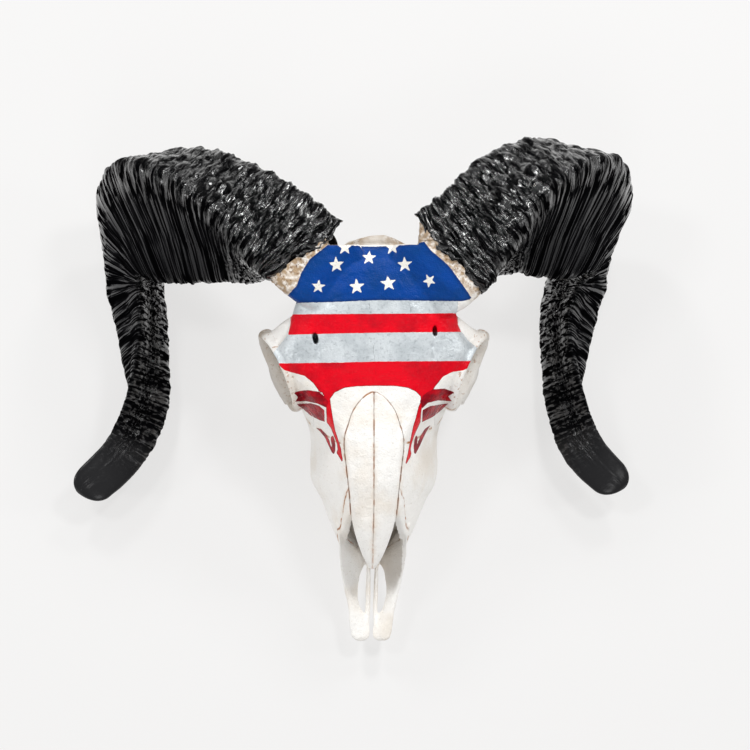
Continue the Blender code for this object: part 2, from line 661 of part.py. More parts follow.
def tooth(name, middle, length, width, lobes, collection):
    """A cheek tooth with its chewing face on the floor plane."""
    lean = math.radians(REST_TILT_DEG)
    up = Vector((0.0, math.sin(lean), math.cos(lean)))
    front = Vector((0.0, -math.cos(lean), math.sin(lean)))
    rings = []
    for height, share in ((0.0, 0.94), (1.5, 1.0), (TOOTH_ROOT, 0.85)):
        ring = []
        for k in range(TOOTH_SIDES):
            a = 2 * math.pi * k / TOOTH_SIDES
            waist = 1 - (0.13 * math.sin(a) ** 2 * (1 + math.cos(4 * math.pi * 0.5 * math.cos(a))) if lobes == 2 else 0.0)
            box = (abs(math.cos(a)) ** 3 + abs(math.sin(a)) ** 3) ** (-1 / 3)
            reach_y = math.cos(a) * box * length / 2
            reach_x = math.sin(a) * box * waist * width / 2
            ring.append(middle + up * height + front * reach_y * share + Vector((1, 0, 0)) * reach_x * share)
        rings.append(ring)
    return loft(name, rings, collection)


def tooth_row(side, collection):
    """Six teeth that touch, each a little sunk into the next, so that the row is one solid."""
    lean = math.radians(REST_TILT_DEG)
    total = sum(TOOTH_LENGTHS)
    sign = 1 if side == "left" else -1
    along, row = 0.0, []
    for k, (length, width) in enumerate(zip(TOOTH_LENGTHS, TOOTH_WIDTHS)):
        share = (along + length / 2) / total
        half = TOOTH_ROW_HALF_WIDTHS[0] + (TOOTH_ROW_HALF_WIDTHS[1] - TOOTH_ROW_HALF_WIDTHS[0]) * math.sin(share * math.pi / 2)
        y = TOOTH_ROW_START + (along + length / 2) * math.cos(lean)
        z = -(FLOOR_DEPTH + y * math.sin(lean)) / math.cos(lean)
        row.append(tooth(f"tooth_{k}_{side}", Vector((sign * half, y, z)), length + 0.7, width, 1 if k < 3 else 2, collection))
        along += length
    return row


def vomer(collection):
    """Thin upright plate in the middle of the airway."""
    rows = ((-112.0, -51.0, -49.5), (-100.0, -52.2, -46.0), (-80.0, -57.0, -40.0), (-60.0, -62.5, -34.0), (-50.0, -66.0, -32.0))
    rings = []
    for y, low, high in rows:
        rings.append([Vector((x, y, z)) for x, z in ((-0.8, low), (0.8, low), (1.1, high), (-1.1, high))])
    return loft("vomer", rings, collection)


def soften(obj, grain, smoothing, triangles):
    """Melts the joins of the bone as growth does, then thins its mesh out."""
    remesh = obj.modifiers.new("grain", "REMESH")
    remesh.mode = "VOXEL"
    remesh.voxel_size = grain
    smooth = obj.modifiers.new("soft", "SMOOTH")
    smooth.iterations = smoothing
    smooth.factor = 0.5
    apply_modifiers(obj)
    obj.data.calc_loop_triangles()
    count = len(obj.data.loop_triangles)
    thin = obj.modifiers.new("thin", "DECIMATE")
    thin.ratio = triangles / count
    thin.use_collapse_triangulate = True
    return apply_modifiers(obj)


def lay_down(obj):
    """Face frame in millimetres to the floor in metres, with what would pass the floor cut flat."""
    start, end = NOSE_DRIFT_RANGE
    for vert in obj.data.vertices if not obj.name.startswith("horn") else ():
        vert.co.x -= NOSE_DRIFT * min(1.0, max(0.0, (vert.co.y - start) / (end - start)))
    turn = Matrix.Rotation(math.radians(REST_TILT_DEG), 4, "X")
    obj.data.transform(Matrix.Translation((-BOX_MIDDLE[0], -BOX_MIDDLE[1], FLOOR_DEPTH)) @ turn)
    if min(v.co.z for v in obj.data.vertices) < -0.001:
        floor = block("floor", (-400, -400, -60), (400, 400, 0), obj.users_collection[0])
        boolean(obj, [floor], "DIFFERENCE")
        keep_largest(obj)
    obj.data.transform(Matrix.Scale(MM, 4))
    return obj


def main():
    clear_scene()
    parts = collection_named("ram_skull")
    bone = material_of("bone", BONE_COLOUR, 0.6)
    keratin = material_of("horn", HORN_COLOUR, 0.3)
    skull = soften(fused_bone(parts), BONE_GRAIN, 2, BONE_TRIANGLES)
    boolean(skull, [nasal_bed(parts), rim_cutter("left", parts), rim_cutter("right", parts)], "DIFFERENCE")
    gap = 0.7 * SEAM
    for side in ("left", "right"):
        split_off(
            skull, f"premaxilla_{side}",
            lambda: region("nose", NOSE_SUTURE, (-gap / 2, gap / 2), side, parts),
            lambda: region("nose", NOSE_SUTURE, (gap / 2, -gap / 2), side, parts), parts,
        )
    for side in ("left", "right"):
        jaw = split_off(
            skull, f"maxilla_{side}",
            lambda: region("face", FACE_SUTURE, (-gap / 2, -gap / 2), side, parts),
            lambda: region("face", FACE_SUTURE, (gap / 2, gap / 2), side, parts), parts,
        )
        boolean(jaw, tooth_row(side, parts), "UNION")
        keep_largest(jaw)
    for side in ("left", "right"):
        split_off(
            skull, f"zygomatic_{side}",
            lambda: cheek_region(-SEAM / 2, side, parts),
            lambda: cheek_region(SEAM / 2, side, parts), parts,
        )
    split_off(
        skull, "frontal",
        lambda: region("forehead", FOREHEAD_SUTURE, (-gap / 2, gap / 2), "both", parts),
        lambda: region("forehead", FOREHEAD_SUTURE, (gap / 2, -gap / 2), "both", parts), parts,
    )
    skull.name = "braincase"
    keep_largest(skull)
    for side in ("left", "right"):
        nasal_bone(side, parts)
        horn(side, parts)
    vomer(parts)
    for obj in list(parts.objects):
        obj.data.materials.clear()
        obj.data.materials.append(keratin if obj.name.startswith("horn") else bone)
        lay_down(obj)


main()
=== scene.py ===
"""Ram skull with a painted forehead and a pair of black horns, lying on its cheek teeth.

Every piece is shaped in the face frame, in millimetres: X to the animal's left, Y up the
forehead from the root of the nose, Z out of the face. LAID then lays it on the floor.
"""
import math

import bmesh
import bpy
import numpy as np
from mathutils import Matrix, Vector
from mathutils.bvhtree import BVHTree


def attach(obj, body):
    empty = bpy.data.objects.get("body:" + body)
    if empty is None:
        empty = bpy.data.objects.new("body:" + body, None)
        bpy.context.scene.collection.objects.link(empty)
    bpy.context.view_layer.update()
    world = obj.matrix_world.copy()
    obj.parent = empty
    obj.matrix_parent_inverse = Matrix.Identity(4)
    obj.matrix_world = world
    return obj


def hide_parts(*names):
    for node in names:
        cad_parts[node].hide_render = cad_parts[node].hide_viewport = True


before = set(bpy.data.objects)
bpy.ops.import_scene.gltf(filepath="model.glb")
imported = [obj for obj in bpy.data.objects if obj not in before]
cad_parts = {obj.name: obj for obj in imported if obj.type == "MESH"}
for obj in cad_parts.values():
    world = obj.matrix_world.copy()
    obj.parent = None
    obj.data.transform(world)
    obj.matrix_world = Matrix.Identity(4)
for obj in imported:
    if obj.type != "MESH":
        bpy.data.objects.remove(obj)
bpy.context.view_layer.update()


# Floor, light and camera: a white light table under soft boxes, seen square to the face.
# The sheet is matt and takes only a faint shadow, because light also comes up through it.
REST_TILT = math.radians(17.7)
LAID = Matrix.Scale(0.001, 4) @ Matrix.Translation((12.9, -15.5, 100.5)) @ Matrix.Rotation(REST_TILT, 4, "X")
CAMERA_PLACE = (0.6, 6.6, 2100.0)
FIELD_WIDTH = 450.0
SENSOR = 36.0
SOFT_BOXES = {
    # place in the face frame in mm, size in mm, power in watts
    "key": ((620.0, 900.0, 1150.0), 240.0, 8.0),
    "fill": ((-700.0, 700.0, 1200.0), 240.0, 5.0),
    "top_left": ((-480.0, 1350.0, 520.0), 240.0, 6.5),
    "top_right": ((480.0, 1350.0, 520.0), 240.0, 6.0),
    "front": ((60.0, -700.0, 1500.0), 600.0, 4.0),
    "strip_left": ((-900.0, -100.0, 420.0), 160.0, 1.6),
    "strip_right": ((900.0, 150.0, 420.0), 160.0, 1.6),
}


def linear(code):
    """An sRGB hex colour as a linear colour with full alpha."""
    parts = [int(code[k:k + 2], 16) / 255 for k in (1, 3, 5)]
    return (*(c / 12.92 if c <= 0.04045 else ((c + 0.055) / 1.055) ** 2.4 for c in parts), 1.0)


def add(tree, kind, inputs=None, out=0, **settings):
    """Adds a node with its settings and links and returns one output. Each input is a value or a socket."""
    made = tree.nodes.new(kind)
    for name, value in settings.items():
        setattr(made, name, value)
    for socket, value in (inputs or {}).items():
        if isinstance(value, bpy.types.NodeSocket):
            tree.links.new(value, made.inputs[socket])
        else:
            made.inputs[socket].default_value = value
    return made.outputs[out]


camera = bpy.data.objects.new("camera", bpy.data.cameras.new("camera"))
bpy.context.scene.collection.objects.link(camera)
camera.location = LAID @ Vector(CAMERA_PLACE)
camera.rotation_euler = (REST_TILT, 0.0, 0.0)
camera.data.sensor_width = SENSOR
camera.data.lens = SENSOR * CAMERA_PLACE[2] / FIELD_WIDTH
camera.data.clip_end = 50.0
bpy.context.scene.camera = camera
bpy.context.scene.view_settings.view_transform = "Standard"

for name, (place, size, power) in SOFT_BOXES.items():
    lamp = bpy.data.objects.new(name, bpy.data.lights.new(name, "AREA"))
    lamp.data.energy = power
    lamp.data.size = size * 0.001
    lamp.location = LAID @ Vector(place)
    sight = LAID @ Vector((0.0, 20.0, -40.0)) - lamp.location
    lamp.rotation_euler = sight.to_track_quat("-Z", "Y").to_euler()
    bpy.context.scene.collection.objects.link(lamp)

sky = bpy.data.worlds.new("pale_studio")
sky.use_nodes = True
sky.node_tree.nodes["Background"].inputs["Color"].default_value = linear("#F6F6F7")
sky.node_tree.nodes["Background"].inputs["Strength"].default_value = 0.34
bpy.context.scene.world = sky

# Opal acrylic of a light table: matt white, lit faintly from below, so that shadows stay pale.
paper = bpy.data.materials.new("opal_acrylic")
paper.use_nodes = True
shader = paper.node_tree.nodes["Principled BSDF"]
shader.inputs["Base Color"].default_value = linear("#7C7C7C")
shader.inputs["Emission Color"].default_value = linear("#FFFEFD")
shader.inputs["Emission Strength"].default_value = 0.66
shader.inputs["Roughness"].default_value = 0.9
shader.inputs["Specular IOR Level"].default_value = 0.1
floor_mesh = bpy.data.meshes.new("floor")
floor_mesh.from_pydata([(-4, -4, 0), (4, -4, 0), (4, 4, 0), (-4, 4, 0)], [], [(0, 1, 2, 3)])
floor_mesh.materials.append(paper)
floor = bpy.data.objects.new("floor", floor_mesh)
floor.location.z = -0.0004
bpy.context.scene.collection.objects.link(floor)


# Skull: the bone of face, forehead and braincase, grown together before the sutures are cut.
# Each row is a section across the skull, from the nose opening back to the nape: y, roof z,
# roof half width, shoulder z, widest half width and its z, low half width and its z, floor z.
SKULL_STATIONS = {
    "nasal_tip": (-112.0, -21.0, 11.0, -31.0, 19.0, -42.0, 12.0, -50.0, -53.0),
    "nose_opening": (-98.0, -14.5, 14.0, -27.0, 20.5, -42.0, 13.0, -54.0, -57.5),
    "gap_before_teeth": (-87.0, -10.5, 15.5, -20.0, 25.0, -44.0, 20.0, -59.0, -62.0),
    "first_tooth": (-70.0, -6.5, 18.0, -15.0, 31.5, -48.0, 28.0, -64.0, -68.0),
    "face_tubercle": (-56.0, -3.5, 20.0, -12.0, 38.2, -54.0, 33.0, -70.0, -74.0),
    "cheek": (-32.0, -1.5, 22.0, -9.0, 38.5, -54.0, 34.5, -77.0, -80.0),
    "tear_bone": (-14.0, -2.0, 33.0, -12.0, 44.5, -50.0, 34.0, -84.0, -86.0),
    "orbit_front": (2.0, -1.5, 47.0, -12.0, 54.0, -48.0, 32.0, -84.0, -89.0),
    "orbit_back": (20.0, 0.0, 56.0, -11.0, 59.0, -45.0, 28.0, -80.0, -90.0),
    "temple": (34.0, 1.0, 51.0, -9.0, 47.0, -42.0, 25.0, -82.0, -94.0),
    "horn_front": (46.0, 1.5, 48.5, -10.0, 38.0, -46.0, 26.0, -88.0, -99.0),
    "horn_middle": (62.0, 1.0, 42.0, -9.0, 36.0, -50.0, 29.0, -92.0, -103.0),
    "horn_back": (76.0, -2.5, 34.0, -12.0, 36.0, -50.0, 30.0, -92.0, -102.0),
    "nape": (86.0, -14.0, 24.0, -25.0, 33.0, -50.0, 25.0, -88.0, -97.0),
}
BONE_GRAIN = 0.75
SEAM = 0.3
# Orbit: an oval cup that opens sideways, with a swollen rim.
ORBIT_CENTRE = (56.4, 9.5, -34.0)
ORBIT_RADII = (22.5, 21.0)
ORBIT_TURN = math.radians(24.0)
ORBIT_LEAN = math.radians(8.0)
ORBIT_DEPTH = 26.0
RIM_RADII = (3.0, 4.4)
UPPER_RIM_SHARE = 0.55
ORBIT_RIM_REACH = 1.5
# Cheek arch: path and half sizes.
ARCH_PATH = (
    (52.0, -10.0, -56.0), (61.0, 8.0, -60.0), (60.0, 22.0, -62.0), (50.0, 35.0, -66.0), (41.0, 50.0, -72.0),
    (30.0, 66.0, -76.0),
)
ARCH_SIZES = ((3.5, 7.0), (3.5, 6.5), (3.0, 5.0), (3.0, 4.5), (4.0, 5.0), (6.0, 6.0))
# Flat bar from the forehead's edge to the back of the orbit's rim.
BAR_PATH = ((45.0, 37.5, -12.0), (56.0, 31.5, -19.0), (64.5, 27.5, -31.0))
BAR_SIZES = ((8.0, 3.6), (6.3, 3.2), (4.2, 3.6))
NAPE_CREST = (
    (-30.0, 76.0, -72.0), (-22.0, 81.0, -55.0), (-10.0, 86.8, -48.0), (3.0, 89.6, -46.0), (10.0, 88.0, -48.0),
    (22.0, 81.5, -55.0), (30.0, 76.0, -72.0),
)
# Airway and the top edge of the nose's side walls in front of the bones' meeting, y and z.
CAVITY_BACK = -38.0
CAVITY_WALL = 4.2
NOSE_WALL_EDGE = (
    (-74.0, -8.0), (-80.0, -17.0), (-88.0, -27.0), (-94.0, -36.0), (-99.0, -45.0), (-116.0, -48.0),
)
# Front blades of the upper jaw: y, upper edge x and z, lower edge x and z, thickness.
BLADE_STATIONS = (
    (-84.0, 22.0, -30.0, 18.0, -54.0, 4.0),
    (-94.0, 20.6, -32.0, 11.0, -56.5, 4.0),
    (-104.0, 20.3, -35.5, 3.4, -54.5, 3.8),
    (-110.0, 19.6, -38.0, 5.0, -53.0, 3.8),
    (-116.0, 18.6, -39.5, 7.6, -51.5, 4.0),
    (-127.0, 16.2, -41.5, 9.2, -49.0, 4.4),
    (-136.0, 14.2, -41.5, 7.2, -46.5, 4.8),
    (-142.0, 13.6, -41.0, 3.0, -45.0, 5.0),
    (-149.5, 12.8, -40.0, 1.0, -43.5, 4.6),
    (-154.0, 11.6, -39.5, 1.2, -42.0, 3.2),
    (-156.0, 9.0, -39.8, 3.6, -41.0, 1.4),
)
PALATE_STRUT = (
    (2.6, -147.0, -43.4), (2.3, -138.0, -45.6), (2.4, -124.0, -49.2), (2.5, -110.0, -52.6),
    (3.0, -98.0, -55.4),
)
# Holes for the brow's vessels: middle, half sizes and slant, and the groove that runs down from each.
BROW_HOLES = {
    "right": ((-35.2, 28.8, -2.0), (1.7, 3.2, 9.0), 14.0, ((-34.8, 25.0), (-34.8, 13.0)), 0.9),
    "left": ((36.5, 33.2, -2.0), (1.3, 3.2, 7.0), 0.0, ((37.0, 30.0), (36.4, 15.0)), 0.8),
}
# Horn roots: a bony core under each horn. The horn's rim lies aslant over it: so far ahead of
# the root's end in mm at the middle, and so much more for each mm towards the orbit. Its upper
# inner corner is worn back, all but a short point at the very edge.
CORE_SHARE = 0.95
RIM_AHEAD = {"right": (4.0, 0.19), "left": (1.8, -0.046)}
RIM_NOTCH = 5.0
SIDES = {"right": -1, "left": 1}

pieces_home = bpy.data.collections.new("ram_skull")
bpy.context.scene.collection.children.link(pieces_home)


def smooth_through(knots, samples):
    """Points on a smooth curve through the knots, one a row, at the samples from 0 to 1."""
    knots = np.asarray(knots, float)
    padded = np.vstack([2 * knots[0] - knots[1], knots, 2 * knots[-1] - knots[-2]])
    at = np.clip(np.asarray(samples), 0, 1) * (len(knots) - 1)
    span = np.minimum(at.astype(int), len(knots) - 2)
    t = (at - span)[:, None]
    p0, p1, p2, p3 = (padded[span + k] for k in range(4))
    square, cube = 2 * p0 - 5 * p1 + 4 * p2 - p3, 3 * p1 - p0 - 3 * p2 + p3
    return 0.5 * (2 * p1 + (p2 - p0) * t + square * t**2 + cube * t**3)


def object_from(name, mesh):
    obj = bpy.data.objects.new(name, mesh)
    pieces_home.objects.link(obj)
    return obj


def loft(name, rings, closed=False):
    """A skin over rings of points that all have the same count, shut at both ends or joined in a loop."""
    mesh = bmesh.new()
    rows = [[mesh.verts.new(point) for point in ring] for ring in rings]
    for row, after in zip(rows, rows[1:] + rows[:1] if closed else rows[1:]):
        for k in range(len(row)):
            n = (k + 1) % len(row)
            mesh.faces.new((row[k], row[n], after[n], after[k]))
    if not closed:
        mesh.faces.new(rows[0])
        mesh.faces.new(rows[-1])
    bmesh.ops.recalc_face_normals(mesh, faces=mesh.faces)
    bmesh.ops.triangulate(mesh, faces=mesh.faces)
    data = bpy.data.meshes.new(name)
    mesh.to_mesh(data)
    mesh.free()
    return object_from(name, data)


def tube(name, path, sizes, sides=20, lie=(0, 0, 1), closed=False):
    """A tube of oval sections along a path. Sizes are (half width, half height) pairs."""
    path = [Vector(p) for p in path]
    rings = []
    for k, point in enumerate(path):
        before = path[k - 1] if k or closed else point
        after = path[(k + 1) % len(path)] if closed or k + 1 < len(path) else point
        along = (after - before).normalized()
        across = along.cross(Vector(lie)).normalized()
        up = across.cross(along)
        wide, high = sizes[k]
        turns = (2 * math.pi * s / sides for s in range(sides))
        rings.append([point + across * wide * math.cos(a) + up * high * math.sin(a) for a in turns])
    return loft(name, rings, closed)


def ellipsoid(name, centre, radii, turn=None):
    mesh = bmesh.new()
    bmesh.ops.create_uvsphere(mesh, u_segments=40, v_segments=20, radius=1.0)
    place = Matrix.Translation(centre) @ (turn or Matrix.Identity(4)) @ Matrix.Diagonal((*radii, 1.0))
    bmesh.ops.transform(mesh, matrix=place, verts=mesh.verts)
    bmesh.ops.recalc_face_normals(mesh, faces=mesh.faces)
    data = bpy.data.meshes.new(name)
    mesh.to_mesh(data)
    mesh.free()
    return object_from(name, data)


def apply_modifiers(obj):
    graph = bpy.context.evaluated_depsgraph_get()
    mesh = bpy.data.meshes.new_from_object(obj.evaluated_get(graph))
    obj.modifiers.clear()
    obj.data = mesh
    return obj


def boolean(obj, others, operation):
    """One Boolean of the object with closed meshes, which are then removed."""
    tools = bpy.data.collections.new("tools")
    bpy.context.scene.collection.children.link(tools)
    for other in others:
        pieces_home.objects.unlink(other)
        tools.objects.link(other)
    modifier = obj.modifiers.new(operation.lower(), "BOOLEAN")
    modifier.operation = operation
    modifier.operand_type = "COLLECTION"
    modifier.collection = tools
    modifier.solver = "MANIFOLD"
    apply_modifiers(obj)
    for other in others:
        bpy.data.objects.remove(other, do_unlink=True)
    bpy.data.collections.remove(tools)
    return obj


def station_values(y):
    """The sizes of the skull's section at y, read smoothly between the stations."""
    fine = smooth_through(list(SKULL_STATIONS.values()), np.linspace(0, 1, 241))
    return [float(np.interp(y, fine[:, 0], fine[:, k])) for k in range(fine.shape[1])]


def skull_ring(sizes, inset=0.0, corners=12):
    """A closed section from one row of sizes, smooth between its corners."""
    y, roof, roof_w, shoulder, wide, wide_z, low_w, low_z, base = sizes
    half = [
        (0.0, roof), (0.55 * roof_w, roof - 0.10 * (roof - shoulder)), (roof_w, shoulder), (wide, wide_z),
        (low_w, low_z), (0.55 * low_w, base),
    ]
    knots = half + [(0.0, base)] + [(-x, z) for x, z in half[:0:-1]]
    closed = np.array(knots[-2:] + knots + knots[:3])
    fine = smooth_through(closed, (2 + np.arange(corners * len(knots)) / corners) / (len(closed) - 1))
    middle = np.array([0.0, (roof + base) / 2])
    away = fine - middle
    reach = np.linalg.norm(away, axis=1, keepdims=True)
    fine = middle + away * np.maximum(reach - inset, 1.0) / reach
    return [Vector((x, y, z)) for x, z in fine]


def orbit_axes(sign):
    """The orbit's centre and its long, short and outward axes on one side."""
    long_axis = Vector((sign * math.sin(ORBIT_TURN), math.cos(ORBIT_TURN), 0.0))
    short_axis = Vector((-sign * math.sin(ORBIT_LEAN), 0.0, math.cos(ORBIT_LEAN)))
    short_axis = (short_axis - long_axis * short_axis.dot(long_axis)).normalized()
    out = long_axis.cross(short_axis) * sign
    return Vector((sign * ORBIT_CENTRE[0], *ORBIT_CENTRE[1:])), long_axis, short_axis, out


def rim_path(sign, steps):
    centre, long_axis, short_axis, _ = orbit_axes(sign)
    turns = [2 * math.pi * k / steps for k in range(steps)]
    wide, high = (radius + ORBIT_RIM_REACH for radius in ORBIT_RADII)
    return [centre + long_axis * wide * math.cos(a) + short_axis * high * math.sin(a) for a in turns]


# Horn middle lines are needed here for the roots: one row a station from the rim to the tip,
# middle of the section, the way its inner edge points, its height from front face to that edge, its width.
HORN_STATIONS = {
    "right": {
        "rim": ((-38.5, 76.5, -30.0), (-0.02, -0.05, -1.0), 70.0, 70.0),
        "first_swell": ((-64.0, 80.0, -34.0), (-0.15, -0.48, -0.87), 82.0, 76.0),
        "crown": ((-97.0, 93.0, -43.0), (0.0, -0.82, -0.56), 92.0, 70.0),
        "shoulder": ((-128.0, 99.0, -60.0), (0.03, -0.98, -0.2), 93.0, 64.0),
        "bend": ((-147.0, 90.0, -81.0), (0.08, -0.92, 0.38), 82.0, 54.0),
        "under_bend": ((-148.0, 66.0, -92.0), (0.15, -0.5, 0.85), 66.0, 47.0),
        "belly": ((-145.5, 40.0, -87.0), (0.05, -0.1, 0.99), 55.0, 42.0),
        "fore_belly": ((-145.0, 14.0, -80.0), (-0.12, 0.08, 0.99), 47.0, 38.0),
        "neck": ((-147.0, -13.0, -73.0), (-0.45, 0.2, 0.87), 40.0, 32.0),
        "flare": ((-158.0, -40.0, -66.0), (-0.72, 0.3, 0.62), 31.0, 26.0),
        "tip": ((-183.0, -66.0, -61.0), (-0.8, 0.45, 0.4), 25.0, 24.0),
    },
    "left": {
        "rim": ((44.5, 76.5, -30.0), (0.02, -0.05, -1.0), 72.0, 79.0),
        "first_swell": ((67.0, 82.5, -35.0), (0.12, -0.45, -0.88), 84.0, 77.0),
        "crown": ((93.0, 98.0, -44.0), (0.0, -0.8, -0.6), 96.0, 74.0),
        "shoulder": ((120.0, 102.0, -60.0), (-0.03, -0.98, -0.2), 94.0, 66.0),
        "bend": ((135.5, 91.0, -81.0), (-0.08, -0.92, 0.38), 82.0, 54.0),
        "under_bend": ((128.0, 66.0, -92.0), (-0.15, -0.5, 0.85), 66.0, 49.0),
        "belly": ((121.0, 40.0, -87.0), (-0.05, -0.1, 0.99), 55.0, 44.0),
        "fore_belly": ((121.0, 14.0, -80.0), (0.12, 0.08, 0.99), 47.0, 36.0),
        "neck": ((124.5, -13.0, -73.0), (0.45, 0.2, 0.87), 39.0, 28.5),
        "flare": ((132.5, -38.0, -66.0), (0.72, 0.3, 0.62), 31.0, 23.0),
        "tip": ((155.0, -63.0, -61.0), (0.8, 0.45, 0.4), 24.0, 21.0),
    },
}
RIM_NORMALS = {"right": (-0.74, 0.67, -0.04), "left": (0.69, 0.725, -0.04)}
RIM_REACH = 55.0
HORN_ROUNDNESS = 3.6


def horn_axis(side, rings):
    """Frames along one horn, base to tip: middle, growth direction, side, inner edge; sizes; run in mm."""
    rows = list(HORN_STATIONS[side].values())
    fine = np.linspace(0, 1, 1201)
    steps = np.linalg.norm(np.diff(smooth_through([r[0] for r in rows], fine), axis=0), axis=1)
    length = np.concatenate([[0.0], np.cumsum(steps)])
    samples = np.interp(np.linspace(0, length[-1], rings), length, fine)
    centres = smooth_through([r[0] for r in rows], samples)
    inward = smooth_through([r[1] for r in rows], samples)
    sizes = smooth_through([(r[2], r[3]) for r in rows], samples)
    run = np.linspace(0, length[-1], rings)
    frames = []
    for k, centre in enumerate(centres):
        before, after = centres[max(k - 1, 0)], centres[min(k + 1, rings - 1)]
        grown = min(1.0, run[k] / RIM_REACH)
        tangent = Vector(after - before).normalized()
        along = Vector(RIM_NORMALS[side]).lerp(tangent, grown * grown * (3 - 2 * grown)).normalized()
        inner = Vector(inward[k])
        inner = (inner - along * inner.dot(along)).normalized()
        frames.append((Vector(centre), along, along.cross(inner), inner))
    return frames, sizes, run


def horn_section(height, width, sides):
    """A rounded triangle: flat front face, two flanks that meet in the inner edge."""
    flank = math.hypot(height, width / 2)
    turns = 2 * math.pi * np.arange(sides) / sides
    u, v = np.cos(turns), np.sin(turns)
    reach = width * height / 4 / flank
    total = np.maximum(0.0, -v / (height / 2)) ** HORN_ROUNDNESS
    for nx in (height / flank, -height / flank):
        total += np.maximum(0.0, (nx * u + width / 2 / flank * v) / reach) ** HORN_ROUNDNESS
    return turns, u * total ** (-1 / HORN_ROUNDNESS), v * total ** (-1 / HORN_ROUNDNESS)


skull = loft("skull", [skull_ring([y] + station_values(y)[1:]) for y in np.linspace(-98.0, 86.0, 150)])
temples = [ellipsoid(f"temple_{s}", (s * 51.0, 45.0, -52.0), (12.0, 16.0, 26.0)) for s in (-1, 1)]
boolean(skull, temples, "DIFFERENCE")
grown_on = []
for side, sign in SIDES.items():
    _, long_axis, short_axis, _ = orbit_axes(sign)
    thin = [1 - (1 - UPPER_RIM_SHARE) * max(0.0, math.sin(2 * math.pi * k / 72)) for k in range(72)]
    rim_sizes = [(RIM_RADII[0] * share, RIM_RADII[1] * share) for share in thin]
    grown_on.append(tube("rim", rim_path(sign, 72), rim_sizes, lie=long_axis.cross(short_axis), closed=True))
    bar = smooth_through(BAR_PATH, np.linspace(0, 1, 24)) * (sign, 1, 1)
    bar_sizes = smooth_through(BAR_SIZES, np.linspace(0, 1, 24))
    grown_on.append(tube("bar", bar, bar_sizes, lie=(0.5 * sign, 0.3, 0.8)))
    arch = smooth_through(ARCH_PATH, np.linspace(0, 1, 48)) * (sign, 1, 1)
    grown_on.append(tube("arch", arch, smooth_through(ARCH_SIZES, np.linspace(0, 1, 48))))
    grown_on.append(ellipsoid("condyle", (sign * 12.5, 83.5, -104.0), (8.0, 8.0, 12.0)))
    grown_on.append(ellipsoid("ear_capsule", (sign * 22.0, 60.0, -104.0), (8.0, 12.0, 9.0)))
    peg = [(sign * 27.0, 78.0, -92.0), (sign * 26.5, 77.0, -104.0), (sign * 25.9, 76.0, -116.0)]
    grown_on.append(tube("peg", peg, [(6, 5), (5, 3.5), (2, 1.6)], lie=(0, 1, 0)))
    (centre, along, across, inner), (height, width) = (part[0] for part in horn_axis(side, 60)[:2])
    rings = []
    for back, share in ((34.0, 0.74), (14.0, 0.96), (0.0, 1.0), (-18.0, 1.0)):
        _, us, vs = horn_section(height * CORE_SHARE, width * CORE_SHARE, 72)
        rings.append([centre - along * back + (across * u + inner * v) * share for u, v in zip(us, vs)])
    grown_on.append(loft("core", rings))
crest = smooth_through(NAPE_CREST, np.linspace(0, 1, 48))
grown_on.append(tube("nape_crest", crest, [(4.0, 3.2)] * 48, lie=(0, 1, 0)))
boolean(skull, grown_on, "UNION")

airway = []
for y in np.linspace(-122.0, CAVITY_BACK, 60):
    inset = CAVITY_WALL + 16.0 * max(0.0, (y - CAVITY_BACK + 12.0) / 12.0) ** 2
    airway.append(skull_ring([y] + station_values(max(y, -112.0))[1:], inset))
edge = list(NOSE_WALL_EDGE) + [(-118.0, 30.0), (-74.0, 30.0)]
cut_above = [[Vector((x, y, z)) for y, z in edge] for x in (-60.0, 60.0)]
hollows = [loft("airway", airway), loft("nose_edge", cut_above)]
hollows.append(ellipsoid("foramen_magnum", (0.0, 92.0, -94.0), (7.5, 20.0, 8.0)))
hollows.append(ellipsoid("choana", (0.0, 22.0, -96.0), (10.0, 26.0, 17.0)))
brow_corners = ((-28, 85.5, -37), (27, 85.5, -37), (27, 84.2, 30), (-28, 84.2, 30))
brow_end = [Vector(corner) for corner in brow_corners]
hollows.append(loft("brow_end", [brow_end, [p + Vector((0.0, 40.0, 0.0)) for p in brow_end]]))
for side, sign in SIDES.items():
    centre, long_axis, short_axis, out = orbit_axes(sign)
    cup = (ORBIT_RADII[0] - 1.5, ORBIT_RADII[1] - 1.5, ORBIT_DEPTH)
    turn = Matrix((long_axis, short_axis, out)).transposed().to_4x4()
    hollows.append(ellipsoid("socket", centre + out * 2.0, cup, turn))
    middle, radii, slant, _, _ = BROW_HOLES[side]
    hollows.append(ellipsoid("brow_hole", middle, radii, Matrix.Rotation(math.radians(slant), 4, "Z")))
    slant = Matrix.Rotation(math.radians(-sign * 16.0), 4, "Z")
    hollows.append(ellipsoid("cheek_hole", (sign * 23.0, -77.0, -24.0), (1.0, 4.8, 6.0), slant))
boolean(skull, hollows, "DIFFERENCE")
jaws = []
for sign in SIDES.values():
    rings = []
    for y, top_x, top_z, low_x, low_z, thick in smooth_through(BLADE_STATIONS, np.linspace(0, 1, 90)):
        top, low = Vector((top_x, y, top_z)), Vector((low_x, y, low_z))
        middle, half = (top + low) / 2, (top - low) / 2
        flat = half.normalized().cross(Vector((0, 1, 0)))
        turns = (2 * math.pi * k / 36 for k in range(36))
        ring = [middle + half * math.cos(a) + flat * (thick / 2) * math.sin(a) for a in turns]
        rings.append([Vector((sign * p.x, p.y, p.z)) for p in ring])
    jaws.append(loft("blade", rings))
    strut = smooth_through(PALATE_STRUT, np.linspace(0, 1, 48)) * (sign, 1, 1)
    jaws.append(tube("strut", strut, [(1.25, 1.9)] * 48))
boolean(skull, jaws, "UNION")
remesh = skull.modifiers.new("grain", "REMESH")
remesh.mode = "VOXEL"
remesh.voxel_size = BONE_GRAIN
soft = skull.modifiers.new("soft", "SMOOTH")
